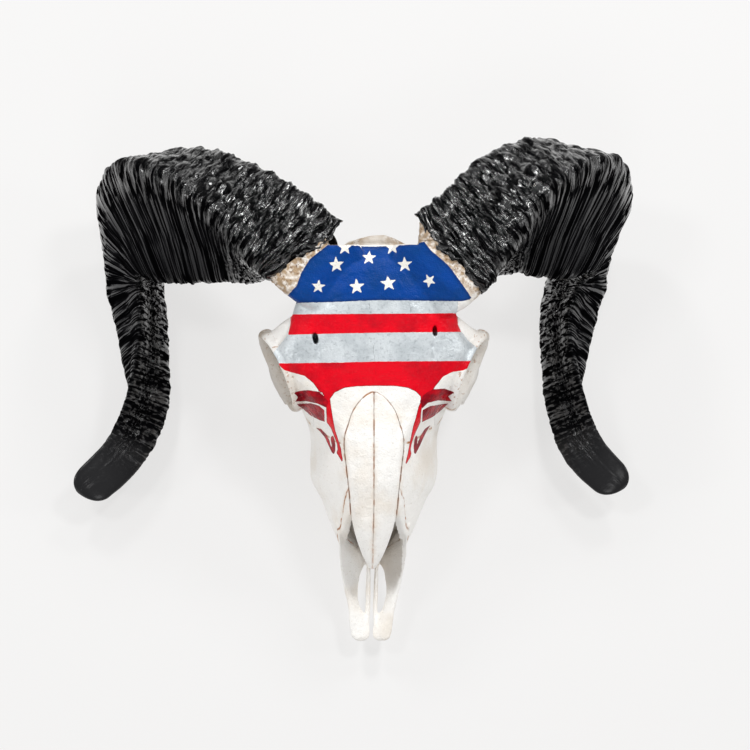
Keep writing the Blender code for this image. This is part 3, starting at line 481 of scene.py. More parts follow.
soft.iterations = 4
soft.factor = 0.5
apply_modifiers(skull)


def read_points(obj):
    points = np.empty(len(obj.data.vertices) * 3, np.float32)
    obj.data.vertices.foreach_get("co", points)
    return points.reshape(-1, 3).astype(float)


def write_points(obj, points):
    obj.data.vertices.foreach_set("co", np.asarray(points, np.float32).ravel())
    obj.data.update()


def read_normals(obj):
    normals = np.empty(len(obj.data.vertices) * 3, np.float32)
    obj.data.vertices.foreach_get("normal", normals)
    return normals.reshape(-1, 3).astype(float)


def step_up(values, low, high):
    """0 below low, 1 above high and smooth between."""
    t = np.clip((values - low) / (high - low), 0, 1)
    return t * t * (3 - 2 * t)


def bumps(points, size):
    """Smooth random values from -1 to 1 in space, about one bump to each size in millimetres."""
    at = np.asarray(points) / size + 71.3
    cell = np.floor(at).astype(np.int64)
    part = at - cell
    part = part * part * (3 - 2 * part)
    total = np.zeros(len(at))
    for corner in range(8):
        step = np.array([corner & 1, corner >> 1 & 1, corner >> 2 & 1])
        key = (cell + step) @ np.array([73856093, 19349663, 83492791])
        key = (key ^ (key >> 13)) * 1274126177
        key = (key ^ (key >> 16)) & 0xFFFF
        total += np.prod(np.where(step, part, 1 - part), axis=1) * (key / 32768.0 - 1)
    return total


def rim_plane(points, side):
    """Distance of each point ahead of the horn's rim plane, and how far it lies from the horn's middle."""
    centre, along, _, _ = horn_axis(side, 60)[0][0]
    away = points - np.array(centre)
    ahead = away @ np.array(along)
    return ahead, np.linalg.norm(away - ahead[:, None] * np.array(along), axis=1)


# Old bone is never flat: slow swells, small dents, and a porous, furrowed skin round the horn roots.
points, normals = read_points(skull), read_normals(skull)
lift = 0.35 * bumps(points, 11.0) + 0.18 * bumps(points, 4.2) + 0.09 * bumps(points, 1.9)
for side in SIDES:
    ahead, off = rim_plane(points, side)
    near_root = step_up(ahead, -7.0, -1.0) * step_up(-off, -52.0, -44.0)
    lift += near_root * (0.5 * bumps(points, (1.6, 1.6, 3.5)) - 0.3)
for side, (middle, _, _, groove, depth) in BROW_HOLES.items():
    (x0, y0), (x1, y1) = groove
    share = np.clip((points[:, 1] - y0) / (y1 - y0), 0, 1)
    off = np.abs(points[:, 0] - (x0 + (x1 - x0) * share) - 0.4 * np.sin(points[:, 1] * 0.7))
    inside = (points[:, 2] > -14) & (points[:, 1] < y0 + 2) & (points[:, 1] > y1 - 4)
    lift -= np.where(inside, depth * np.exp(-((off / 1.3) ** 2)) * step_up(points[:, 1], y1 - 3, y1 + 3), 0.0)
write_points(skull, points + normals * lift[:, None])

# Dry bone, bleached by the sun: a matt, slightly chalky off-white with faint warm clouds and fine
# pores. Earth and grease left brown-orange stain in the sutures, round the orbits and the horn roots.
# Artist's enamel lies on the forehead: gloss blue, red and a silver with fine flake, cream stars left bare.
BONE_LIGHT, BONE_WARM, STAIN, COLLAR_BROWN = "#FAF8F4", "#F0E9DF", "#B5702F", "#A98E6E"
BLUE, BLUE_EDGE, RED, RED_DEEP = "#003F90", "#022C62", "#E6001C", "#780418"
SILVER, SILVER_DARK, STAR, LINE_DARK = "#D8DEE1", "#7C848A", "#F1EEE6", "#3A1216"
# How far the hand wandered at the edge of each paint, as a share of 2.2 mm clouds.
WOBBLE = {"silver": 0.8, "red": 0.45, "blue": 0.8, "star": 0.6, "enamel": 0.0}
# Each layer lies over the ones before it: the paint that it lies within and its colour; the distance
# kept on the mesh, with the range in mm over which its share goes from the third value to the fourth;
# the size and detail of its clouds, with the same four values for them.
LAYERS = (
    (None, BONE_WARM, None, None, (26.0, 4.0), (0.42, 0.72, 0.0, 1.0)),
    (None, "#B9A98F", None, None, (1.3, 2.0), (0.62, 0.78, 0.0, 0.35)),
    (None, "#D2B48C", "seam", (0.4, 3.2, 0.3, 0.0), (9.0, 3.0), (0.4, 0.7, 0.0, 1.0)),
    (None, STAIN, "seam", (0.25, 0.95, 1.0, 0.0), (5.0, 3.0), (0.4, 0.6, 0.05, 0.9)),
    (None, "#A8713F", "rim", (0.0, 1.6, 1.0, 0.0), (2.0, 2.0), (0.58, 0.7, 0.0, 0.6)),
    (None, COLLAR_BROWN, "root", (4.0, 17.0, 1.0, 0.0), (3.0, 4.0), (0.34, 0.6, 0.2, 0.95)),
    (None, "#6B4B2C", "root", (2.0, 14.0, 1.0, 0.0), (1.6, 3.0), (0.56, 0.66, 0.0, 0.8)),
    # Painted shade: grey-brown darkening on the nose's inner walls, behind the forehead and in the orbit
    # cups.
    (None, "#8C7C68", "painted_shade", (2.0, 16.0, 0.0, 0.5), None, None),
    ("silver", SILVER, None, None, None, None),
    ("silver", SILVER_DARK, None, None, (1.8, 5.0), (0.5, 0.8, 0.0, 0.5)),
    ("silver", "#8F999F", None, None, (12.0, 3.0), (0.38, 0.7, 0.0, 0.35)),
    # Cracks in the enamel, and painted shade inside the brow holes.
    ("silver", "#34393D", "crack_and_hole_shade", (0.15, 0.7, 0.85, 0.0), None, None),
    ("red", RED, None, None, None, None),
    ("red", "#B9061C", None, None, (14.0, 3.0), (0.4, 0.75, 0.0, 0.8)),
    ("red", RED_DEEP, "scroll", (-0.2, 0.5, 0.0, 1.0), (6.0, 3.0), (0.3, 0.6, 0.35, 0.95)),
    ("red", LINE_DARK, "outline", (0.1, 0.5, 0.7, 0.0), None, None),
    ("red", "#5A0610", "crack_and_hole_shade", (0.1, 0.5, 0.6, 0.0), None, None),
    ("blue", BLUE, None, None, None, None),
    ("blue", "#033C80", None, None, (16.0, 4.0), (0.35, 0.7, 0.0, 1.0)),
    ("blue", BLUE_EDGE, "blue", (0.0, 2.4, 0.7, 0.0), None, None),
    ("star", STAR, None, None, None, None),
    ("star", "#B8A98E", None, None, (1.1, 2.0), (0.64, 0.72, 0.0, 1.0)),
    (None, "#E3DACA", "tooth", (-0.2, 0.4, 0.0, 1.0), None, None),
    (None, "#7A5A37", "tooth", (-0.2, 0.4, 0.0, 1.0), (2.6, 4.0), (0.45, 0.7, 0.0, 0.55)),
)
bone = bpy.data.materials.new("sun_bleached_bone_with_enamel")
bone.use_nodes = True
tree = bone.node_tree
shader = tree.nodes["Principled BSDF"]
where = add(tree, "ShaderNodeTexCoord", out="Object")
hand = add(tree, "ShaderNodeTexNoise", {"Vector": where, "Scale": 1000.0 / 2.2, "Detail": 3.0})
paints = {}
for name, share in WOBBLE.items():
    away = add(tree, "ShaderNodeAttribute", out="Fac", attribute_name=name)
    away = add(tree, "ShaderNodeMath", {0: hand, 1: share, 2: away}, operation="MULTIPLY_ADD")
    reach = {"Value": away, "From Min": share / 2 - 0.08, "From Max": share / 2 + 0.13}
    paints[name] = add(tree, "ShaderNodeMapRange", reach, interpolation_type="SMOOTHSTEP")
colour = linear(BONE_LIGHT)
for paint, code, field, reach, cloud, spread in LAYERS:
    shares = [paints[paint]] if paint else []
    if field:
        away = add(tree, "ShaderNodeAttribute", out="Fac", attribute_name=field)
        values = dict(zip(("From Min", "From Max", "To Min", "To Max"), reach), Value=away)
        shares.append(add(tree, "ShaderNodeMapRange", values, interpolation_type="SMOOTHSTEP"))
    if cloud:
        values = {"Vector": where, "Scale": 1000.0 / cloud[0], "Detail": cloud[1]}
        clouds = add(tree, "ShaderNodeTexNoise", values)
        values = dict(zip(("From Min", "From Max", "To Min", "To Max"), spread), Value=clouds)
        shares.append(add(tree, "ShaderNodeMapRange", values, interpolation_type="SMOOTHSTEP"))
    share = shares[0]
    for more in shares[1:]:
        share = add(tree, "ShaderNodeMath", {0: share, 1: more}, operation="MULTIPLY")
    colour = add(tree, "ShaderNodeMix", {0: share, 6: colour, 7: linear(code)}, 2, data_type="RGBA")
tree.links.new(colour, shader.inputs["Base Color"])
gloss = add(tree, "ShaderNodeMapRange", {"Value": paints["enamel"], "To Min": 0.56, "To Max": 0.32})
tree.links.new(gloss, shader.inputs["Roughness"])
flake = add(tree, "ShaderNodeMath", {0: paints["silver"], 1: 0.25}, operation="MULTIPLY")
tree.links.new(flake, shader.inputs["Metallic"])
shader.inputs["Specular IOR Level"].default_value = 0.14
# Pores of 0.9 mm and furrows of 3.4 mm; the enamel fills the pores and stands proud at its edge.
pores = add(tree, "ShaderNodeTexNoise", {"Vector": where, "Scale": 1000.0 / 0.9, "Detail": 2.0})
furrows = add(tree, "ShaderNodeTexNoise", {"Vector": where, "Scale": 1000.0 / 3.4, "Detail": 5.0})
open_pores = add(tree, "ShaderNodeMapRange", {"Value": paints["enamel"], "To Min": 1.0, "To Max": 0.7})
height = add(tree, "ShaderNodeMath", {0: pores, 1: open_pores}, operation="MULTIPLY")
height = add(tree, "ShaderNodeMath", {0: furrows, 1: 1.6, 2: height}, operation="MULTIPLY_ADD")
height = add(tree, "ShaderNodeMath", {0: paints["enamel"], 1: 0.5, 2: height}, operation="MULTIPLY_ADD")
cracks_and_holes = add(tree, "ShaderNodeAttribute", out="Fac", attribute_name="crack_and_hole_shade")
cracks_and_holes = add(tree, "ShaderNodeMapRange", {"Value": cracks_and_holes, "From Max": 0.6, "To Min": 1.2, "To Max": 0.0})
height = add(tree, "ShaderNodeMath", {0: height, 1: cracks_and_holes}, operation="SUBTRACT")
bump = add(tree, "ShaderNodeBump", {"Height": height, "Strength": 0.9, "Distance": 0.0004}, out="Normal")
tree.links.new(bump, shader.inputs["Normal"])


# Nose bones: a pair of long curved plates that meet on the midline and are let into the face.
# They are cut from the skull's roof and lie in a bed, a suture's width apart.
NASAL_HALF_WIDTHS = (
    (-3.5, 1.2), (-7.0, 6.5), (-13.6, 11.8), (-21.0, 14.8), (-33.0, 17.8), (-50.0, 16.4),
    (-64.0, 14.8), (-74.0, 14.0), (-84.0, 12.4), (-95.0, 9.2), (-105.0, 5.0), (-111.0, 1.2),
)
NASAL_THICKNESS = 3.6
bones = {}


def nasal_half_width(y):
    fine = smooth_through(NASAL_HALF_WIDTHS, np.linspace(0, 1, 161))
    return float(np.interp(-y, -fine[:, 0], fine[:, 1]))


def roof_height(xs, y):
    """Height of the skull's upper surface at y for each x."""
    ring = np.array([(p.x, p.z) for p in skull_ring([y] + station_values(y)[1:])])
    top = ring[(ring[:, 0] >= -0.01) & (ring[:, 1] > station_values(y)[5])]
    top = top[np.argsort(top[:, 0])]
    return np.interp(np.abs(xs), top[:, 0], top[:, 1])


def dress(obj, node):
    """A finished piece: it stands for one CAD node and rides with the skull."""
    obj.name = f"{node}_fine"
    obj.data.materials.clear()
    obj.data.materials.append(bone)
    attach(obj, "root")
    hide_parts(node)
    bones[node] = obj


top, tip = NASAL_HALF_WIDTHS[0][0], NASAL_HALF_WIDTHS[-1][0]
bed = []
for y in list(np.linspace(top, tip, 90)) + [tip - 5.0]:
    edge_x = nasal_half_width(y) + SEAM
    half = np.linspace(0.0, edge_x, 16)
    xs = np.concatenate([-half[:0:-1], half])
    lower = roof_height(xs, y) - NASAL_THICKNESS - SEAM - 0.15
    above = [Vector((edge_x, y, 12.0)), Vector((-edge_x, y, 12.0))]
    bed.append([Vector((x, y, z)) for x, z in zip(xs, lower)] + above)
boolean(skull, [loft("nasal_bed", bed)], "DIFFERENCE")
for side, sign in SIDES.items():
    rings = []
    for y in np.linspace(top - SEAM, tip, 170):
        width = max(nasal_half_width(y), 0.8)
        xs = np.linspace(SEAM / 2, width, 34)
        rounded = 0.5 * np.sin(np.pi * xs / width) - 0.45 * np.exp(-((xs - SEAM / 2) / 0.8))
        rounded -= 0.5 * np.exp((xs - width) / 0.8)
        grain = 0.3 * bumps(np.stack([sign * xs, np.full(34, y), xs * 0], 1), (3.5, 9.0, 3.5))
        outer = roof_height(xs, y) + rounded + grain
        lower = roof_height(xs, y) - NASAL_THICKNESS * (0.62 + 0.38 * min(1.0, (y - tip) / 25.0))
        section = list(zip(xs, outer)) + list(zip(xs[::-1], lower[::-1]))
        rings.append([Vector((sign * x, y, z)) for x, z in section])
    dress(loft("nasal", rings), f"nasal_{side}")


# Front of the upper jaw: two thin blades that reach to the tip of the nose, with the slim rods
# of the palate between them. Each is a bone of its own, in an uneven suture with the face.
NOSE_SUTURE = (
    (-61.0, 10.0), (-62.0, -8.0), (-70.0, -15.5), (-80.0, -23.5), (-87.0, -30.5), (-95.0, -41.0),
    (-100.0, -52.0), (-103.0, -70.0),
)
rng = np.random.default_rng(8)


def wandering(line, amount=0.5, step=2.2):
    """A suture line with the small wander of a real one, in y and z."""
    line = np.array(line)
    fine = [line[0]]
    for start, end in zip(line, line[1:]):
        count = max(1, int(np.linalg.norm(end - start) / step))
        aside = np.array([start[1] - end[1], end[0] - start[0]]) / np.linalg.norm(end - start)
        for k in range(1, count + 1):
            wander = rng.uniform(-amount, amount) if k < count else 0
            fine.append(start + (end - start) * k / count + aside * wander)
    return np.array(fine)


def split_off(node, line, far, shift, x_low, x_high):
    """Cuts the skull beyond a line in y and z off as a bone of its own, a suture's width away."""
    piece = object_from(node, skull.data.copy())
    for target, way, operation in ((piece, -0.5, "INTERSECT"), (skull, 0.5, "DIFFERENCE")):
        outline = [(y + shift[0] * way, z + shift[1] * way) for y, z in line] + far
        rings = [[Vector((x, y, z)) for y, z in outline] for x in (x_low, x_high)]
        boolean(target, [loft("region", rings)], operation)
    keep_largest(piece)
    dress(piece, node)
    return piece


def keep_largest(obj):
    """Drops every closed surface of the object but the largest."""
    count = len(obj.data.vertices)
    pairs = np.empty(len(obj.data.edges) * 2, np.int32)
    obj.data.edges.foreach_get("vertices", pairs)
    pairs = pairs.reshape(-1, 2)
    label = np.arange(count)
    while True:
        low = np.minimum(label[pairs[:, 0]], label[pairs[:, 1]])
        before = label.copy()
        np.minimum.at(label, pairs[:, 0], low)
        np.minimum.at(label, pairs[:, 1], low)
        label = label[label]
        if (label == before).all():
            break
    main = np.bincount(label).argmax()
    mesh = bmesh.new()
    mesh.from_mesh(obj.data)
    mesh.verts.ensure_lookup_table()
    bmesh.ops.delete(mesh, geom=[mesh.verts[int(k)] for k in np.nonzero(label != main)[0]], context="VERTS")
    mesh.to_mesh(obj.data)
    mesh.free()


GAP = 0.7 * SEAM
nose_line = wandering(NOSE_SUTURE)
for side, sign in SIDES.items():
    reach = (SEAM / 2, 120.0) if sign > 0 else (-120.0, -SEAM / 2)
    split_off(f"premaxilla_{side}", nose_line, [(-200.0, -70.0), (-200.0, 10.0)], (GAP, -GAP), *reach)


# Upper jaw with its six cheek teeth a side: the jaw bone holds the tall crowns in deep sockets,
# and their worn chewing faces, hard enamel folds over softer dentine, carry the skull.
FACE_SUTURE = (
    (-34.0, 20.0), (-34.0, -12.0), (-27.0, -30.0), (-23.0, -45.0), (-12.0, -62.0), (2.0, -78.0),
    (5.0, -120.0),
)
TOOTH_LENGTHS = (8.5, 9.5, 10.5, 13.0, 14.5, 16.0)
TOOTH_WIDTHS = (8.0, 9.0, 10.5, 12.5, 13.0, 12.0)
TOOTH_ROW_START = -80.0
TOOTH_ROW_HALF_WIDTHS = (23.0, 29.0)
TOOTH_ROOT = 22.0
FLOOR_DEPTH = 100.5
tooth_up = Vector((0.0, math.sin(REST_TILT), math.cos(REST_TILT)))
tooth_front = Vector((0.0, -math.cos(REST_TILT), math.sin(REST_TILT)))


def tooth(middle, length, width, lobes, sign):
    """One cheek tooth: rounded corners, a fold between its two lobes, a lip of enamel at the chewing face."""
    turns = 2 * math.pi * np.arange(56) / 56
    c, s = np.cos(turns), np.sin(turns)
    box = (np.abs(c) ** 3 + np.abs(s) ** 3) ** (-1 / 3)
    waist = 1 - (0.2 * s**2 * np.exp(-((c / 0.22) ** 2)) if lobes == 2 else 0.04 * s**2)
    styles = 1 + 0.05 * np.cos(6 * turns) * (s * sign > 0)
    rings = []
    profile = (
        (1.6, 0.25), (0.9, 0.5), (1.4, 0.66), (0.3, 0.78), (0.0, 0.90), (0.6, 0.98), (2.0, 1.0),
        (8.0, 0.985), (14.0, 0.93), (TOOTH_ROOT, 0.85),
    )
    for up, share in profile:
        reach_x = s * box * waist * styles * width / 2 * share
        reach_y = c * box * length / 2 * share
        level = middle + tooth_up * up
        ring = [level + tooth_front * y + Vector((1, 0, 0)) * x for x, y in zip(reach_x, reach_y)]
        rings.append(ring)
    return loft("tooth", rings)


face_line = wandering(FACE_SUTURE)
for side, sign in SIDES.items():
    reach = (SEAM / 2, 120.0) if sign > 0 else (-120.0, -SEAM / 2)
    jaw = split_off(f"maxilla_{side}", face_line, [(-200.0, -120.0), (-200.0, 20.0)], (-GAP, -GAP), *reach)
    gone = 0.0
    row = []
    for k, (length, width) in enumerate(zip(TOOTH_LENGTHS, TOOTH_WIDTHS)):
        share = (gone + length / 2) / sum(TOOTH_LENGTHS)
        spread = TOOTH_ROW_HALF_WIDTHS[1] - TOOTH_ROW_HALF_WIDTHS[0]
        x = sign * (TOOTH_ROW_HALF_WIDTHS[0] + spread * math.sin(share * math.pi / 2))
        y = TOOTH_ROW_START + (gone + length / 2) * math.cos(REST_TILT)
        z = -(FLOOR_DEPTH + y * math.sin(REST_TILT)) / math.cos(REST_TILT)
        row.append(tooth(Vector((x, y, z)), length + 0.3, width, 1 if k < 3 else 2, sign))
        gone += length
    joined = bmesh.new()
    joined.from_mesh(jaw.data)
    jaw_count = len(joined.verts)
    for piece in row:
        joined.from_mesh(piece.data)
        bpy.data.objects.remove(piece, do_unlink=True)
    joined.to_mesh(jaw.data)
    joined.free()
    mark = np.full(len(jaw.data.vertices), -1.0, np.float32)
    mark[jaw_count:] = 1.0
    jaw.data.attributes.new("tooth", "FLOAT", "POINT").data.foreach_set("value", mark)


# Cheek bones: each holds the lower half of an orbit's rim and the root of the cheek arch.
CHEEK_BONE_SIDE = 37.0
CHEEK_BONE = ((-60.0, -120.0), (-60.0, -29.0), (35.0, -29.0), (35.0, -54.0), (46.0, -56.0), (46.0, -120.0))
for side, sign in SIDES.items():
    piece = object_from("cheek", skull.data.copy())
    for target, grown, operation in ((piece, -SEAM / 2, "INTERSECT"), (skull, SEAM / 2, "DIFFERENCE")):
        outline = [(y + (grown if y > 0 else 0.0), z + (grown if z > -100 else 0.0)) for y, z in CHEEK_BONE]
        low, high = sorted((sign * (CHEEK_BONE_SIDE - 0.3 * grown), sign * 110.0))
        rings = [[Vector((x, y, z)) for y, z in outline] for x in (low, high)]
        boolean(target, [loft("region", rings)], operation)
    keep_largest(piece)
    dress(piece, f"zygomatic_{side}")


# Forehead and braincase: the frontal bone carries both horn roots and roofs the orbits, and the
# braincase behind it holds the ear capsules, the condyles and the crest across the nape.
FOREHEAD_SUTURE = (
    (-60.0, -37.0), (-12.0, -37.0), (6.0, -31.0), (26.0, -28.0), (46.0, -38.0), (64.0, -46.0), (78.0, -36.0),
    (84.0, -20.0), (90.0, 20.0),
)
for side in SIDES:
    centre, along, across, inner = horn_axis(side, 60)[0][0]
    start, slope = RIM_AHEAD[side]
    rings = []
    for ahead in (-SEAM, 60.0):
        ring = []
        for a in (2 * math.pi * k / 48 for k in range(48)):
            tilt = start - SIDES[side] * slope * math.cos(a) * 46.0
            ring.append(centre + along * (ahead + tilt) + (across * math.cos(a) + inner * math.sin(a)) * 46.0)
        rings.append(ring)
    boolean(skull, [loft("rim_cutter", rings)], "DIFFERENCE")
split_off("frontal", wandering(FOREHEAD_SUTURE), [(-60.0, 20.0)], (GAP, -GAP), -120.0, 120.0)
keep_largest(skull)
dress(skull, "braincase")


# Vomer: a thin upright plate on the floor of the airway.
VOMER_ROWS = (
    (-112.0, -51.0, -49.5), (-100.0, -52.2, -46.0), (-80.0, -57.0, -40.0), (-60.0, -62.5, -34.0),
    (-50.0, -66.0, -32.0),
)
rings = []
for y, low, high in smooth_through(VOMER_ROWS, np.linspace(0, 1, 60)):
    heights = np.linspace(low, high, 8)
    half = np.linspace(0.8, 1.1, 8) * 0.9
    section = [(-w, z) for w, z in zip(half, heights)]
    section += [(-x, z) for x, z in section[::-1]]
    rings.append([Vector((x, y, z)) for x, z in section])
dress(loft("vomer", rings), "vomer")


# Painted forehead: stars and stripes in enamel, laid on by hand before the horns went back on.
# Each shape is an outline in x and y on the face; a point's distance to it, in millimetres, is
# kept on the mesh, and the material turns it into a crisp edge. Blue reaches up to the horn roots.
BLUE_FIELD = (
    (-27.9, 84.4), (-25.0, 86.6), (-22.0, 84.4), (0.0, 84.1), (20.0, 84.6), (30.0, 86.4), (34.4, 81.0),
    (44.4, 72.5), (52.1, 62.0), (58.3, 52.9), (57.0, 51.6), (51.6, 50.8), (20.0, 51.3), (0.0, 51.4),
    (-25.0, 50.4), (-50.8, 49.6), (-53.7, 48.6), (-55.1, 51.5), (-51.8, 54.4), (-46.3, 60.1),
    (-43.6, 67.8), (-38.5, 76.0),
)
SILVER_BANDS = (
    ((-50.5, 50.2), (0.0, 52.0), (50.5, 51.4), (50.0, 43.4), (0.0, 42.6), (-50.0, 43.0)),
    (
        (-51.9, 31.0), (0.0, 32.2), (52.6, 33.0), (56.8, 27.6), (63.1, 22.3), (60.2, 14.9), (0.0, 14.4),
        (-59.0, 13.5), (-60.9, 19.9), (-57.0, 24.7),
    ),
)
RED_BANDS = (
    (
        (-50.5, 43.1), (0.0, 43.3), (50.5, 43.7), (50.6, 37.1), (52.6, 32.5), (0.0, 31.9),
        (-51.8, 30.8), (-50.4, 37.1),
    ),
    (
        (-59.3, 13.6), (-20.0, 14.1), (0.0, 14.7), (60.2, 15.1), (57.8, 11.3), (54.0, 9.4), (47.3, 8.4),
        (41.5, 5.6), (37.7, 0.8), (34.8, -3.1), (31.5, -4.5), (29.4, -8.0), (28.6, -14.0),
        (28.0, -22.0), (26.6, -25.0), (24.4, -30.0), (22.8, -34.6), (22.1, -38.9), (22.7, -40.6),
        (21.9, -43.3), (19.4, -47.1), (18.9, -46.6), (20.4, -40.4), (21.8, -32.7), (23.6, -24.1),
        (25.3, -18.4), (26.7, -12.6), (28.2, -9.3), (28.1, -6.4), (25.3, -3.5), (20.5, -1.1),
        (12.8, 0.0), (1.3, 0.1), (-10.2, -0.2), (-17.8, -1.1), (-23.6, -4.0), (-26.4, -7.8),
        (-25.5, -14.5), (-23.5, -26.0), (-19.9, -37.5), (-18.8, -44.2), (-19.2, -45.9), (-20.6, -43.5),
        (-22.6, -40.6), (-22.0, -38.5), (-22.4, -34.6), (-24.3, -29.9), (-26.2, -25.1), (-28.6, -22.2),
        (-28.8, -12.6), (-30.0, -6.0), (-31.2, -4.0), (-33.1, -3.1), (-36.5, 1.7), (-41.7, 6.0),
        (-49.4, 8.1), (-54.2, 9.6), (-57.5, 12.5),
    ),
)
# Scrolls beside the orbits: upper leaf, lower leaf and hook on each side.
SCROLLS = (
    (
        (-48.4, -4.2), (-45.6, -3.1), (-39.8, -2.4), (-33.1, -3.5), (-29.3, -6.9), (-27.0, -9.5),
        (-28.8, -13.0), (-31.0, -12.0), (-34.1, -10.7), (-40.8, -9.3), (-47.7, -9.5), (-46.0, -6.9),
    ),
    (
        (-47.0, -11.0), (-37.9, -10.5), (-33.1, -11.9), (-29.9, -14.6), (-29.8, -21.7), (-33.1, -20.8),
        (-38.9, -17.9),
    ),
    (
        (-35.4, -25.6), (-33.1, -27.5), (-30.2, -30.8), (-27.9, -35.6), (-25.5, -40.4), (-24.2, -41.3),
        (-23.5, -39.4), (-23.3, -35.6), (-24.0, -31.8), (-24.9, -29.9), (-25.9, -30.6), (-26.3, -32.7),
        (-25.6, -35.6), (-25.7, -37.4), (-26.2, -36.0), (-27.2, -32.6), (-29.3, -29.0), (-32.2, -26.2),
    ),
    (
        (29.1, -5.9), (32.9, -3.1), (36.7, -1.9), (42.5, -1.6), (48.7, -3.8), (44.9, -6.4),
        (47.3, -9.3), (38.7, -8.8), (32.4, -10.2), (29.1, -13.6), (27.6, -9.0),
    ),
    ((29.3, -14.5), (33.9, -12.1), (44.9, -10.7), (41.5, -14.5), (35.8, -18.8), (29.0, -21.9)),
    (
        (34.3, -23.9), (32.3, -27.3), (30.2, -31.2), (28.0, -36.0), (25.2, -41.2), (24.2, -40.6),
        (23.9, -36.0), (24.4, -32.5), (25.3, -29.9), (26.2, -30.4), (26.3, -33.0), (25.9, -36.0),
        (26.9, -33.2), (28.8, -29.2), (31.0, -26.0),
    ),
)
# Stars: middle, radius in mm and turn in degrees; the last of the lower row came out ragged.
STARS = (
    (-22.6, 72.7, 4.7, 4.0), (-3.0, 77.1, 4.3, -3.0), (18.4, 72.9, 4.5, 3.0), (-33.3, 59.6, 4.1, -5.0),
    (-10.4, 59.6, 4.8, 3.0), (8.6, 61.6, 4.8, 6.0), (33.2, 63.2, 3.9, 28.0), (-17.5, 83.2, 4.6, 0.0),
    (11.1, 83.3, 4.4, 0.0),
)
STAR_WAIST = 0.39
CRACKS = (
    ((-3.2, 51.5), (-2.4, 47.0), (-1.4, 43.0)), ((20.6, 50.5), (22.4, 46.5), (22.0, 43.5)),
    ((-3.0, 30.0), (-0.6, 24.0), (0.6, 14.0), (1.6, 4.0), (1.2, -3.0)),
)


def outline_distance(flat, outline):
    """Distance in mm of each flat point to a closed outline, more than 0 inside it."""
    corners = np.array(outline, float)
    nearest = np.full(len(flat), 1e9)
    inside = np.zeros(len(flat), bool)
    for start, end in zip(corners, np.roll(corners, -1, axis=0)):
        edge = end - start
        share = np.clip(((flat - start) @ edge) / (edge @ edge), 0, 1)
        nearest = np.minimum(nearest, np.linalg.norm(flat - start - share[:, None] * edge, axis=1))
        crosses = (start[1] > flat[:, 1]) != (end[1] > flat[:, 1])
        rise = edge[1] if edge[1] else 1e-9
        inside ^= crosses & (flat[:, 0] < start[0] + edge[0] * (flat[:, 1] - start[1]) / rise)
    return np.where(inside, nearest, -nearest)


def line_distance(flat, line):
    nearest = np.full(len(flat), 1e9)
    for start, end in zip(np.array(line), np.array(line)[1:]):
        edge = end - start
        share = np.clip(((flat - start) @ edge) / (edge @ edge), 0, 1)
        nearest = np.minimum(nearest, np.linalg.norm(flat - start - share[:, None] * edge, axis=1))
    return nearest


def star_outline(x, y, radius, turn):
    tips = np.radians(90 + turn) + np.pi / 5 * np.arange(10)
    reach = radius * np.where(np.arange(10) % 2, STAR_WAIST, 1.0)
    return np.stack([x + reach * np.cos(tips), y + reach * np.sin(tips)], axis=1)


def keep_field(obj, name, values):
    attribute = obj.data.attributes.get(name) or obj.data.attributes.new(name, "FLOAT", "POINT")
    attribute.data.foreach_set("value", np.asarray(values, np.float32))


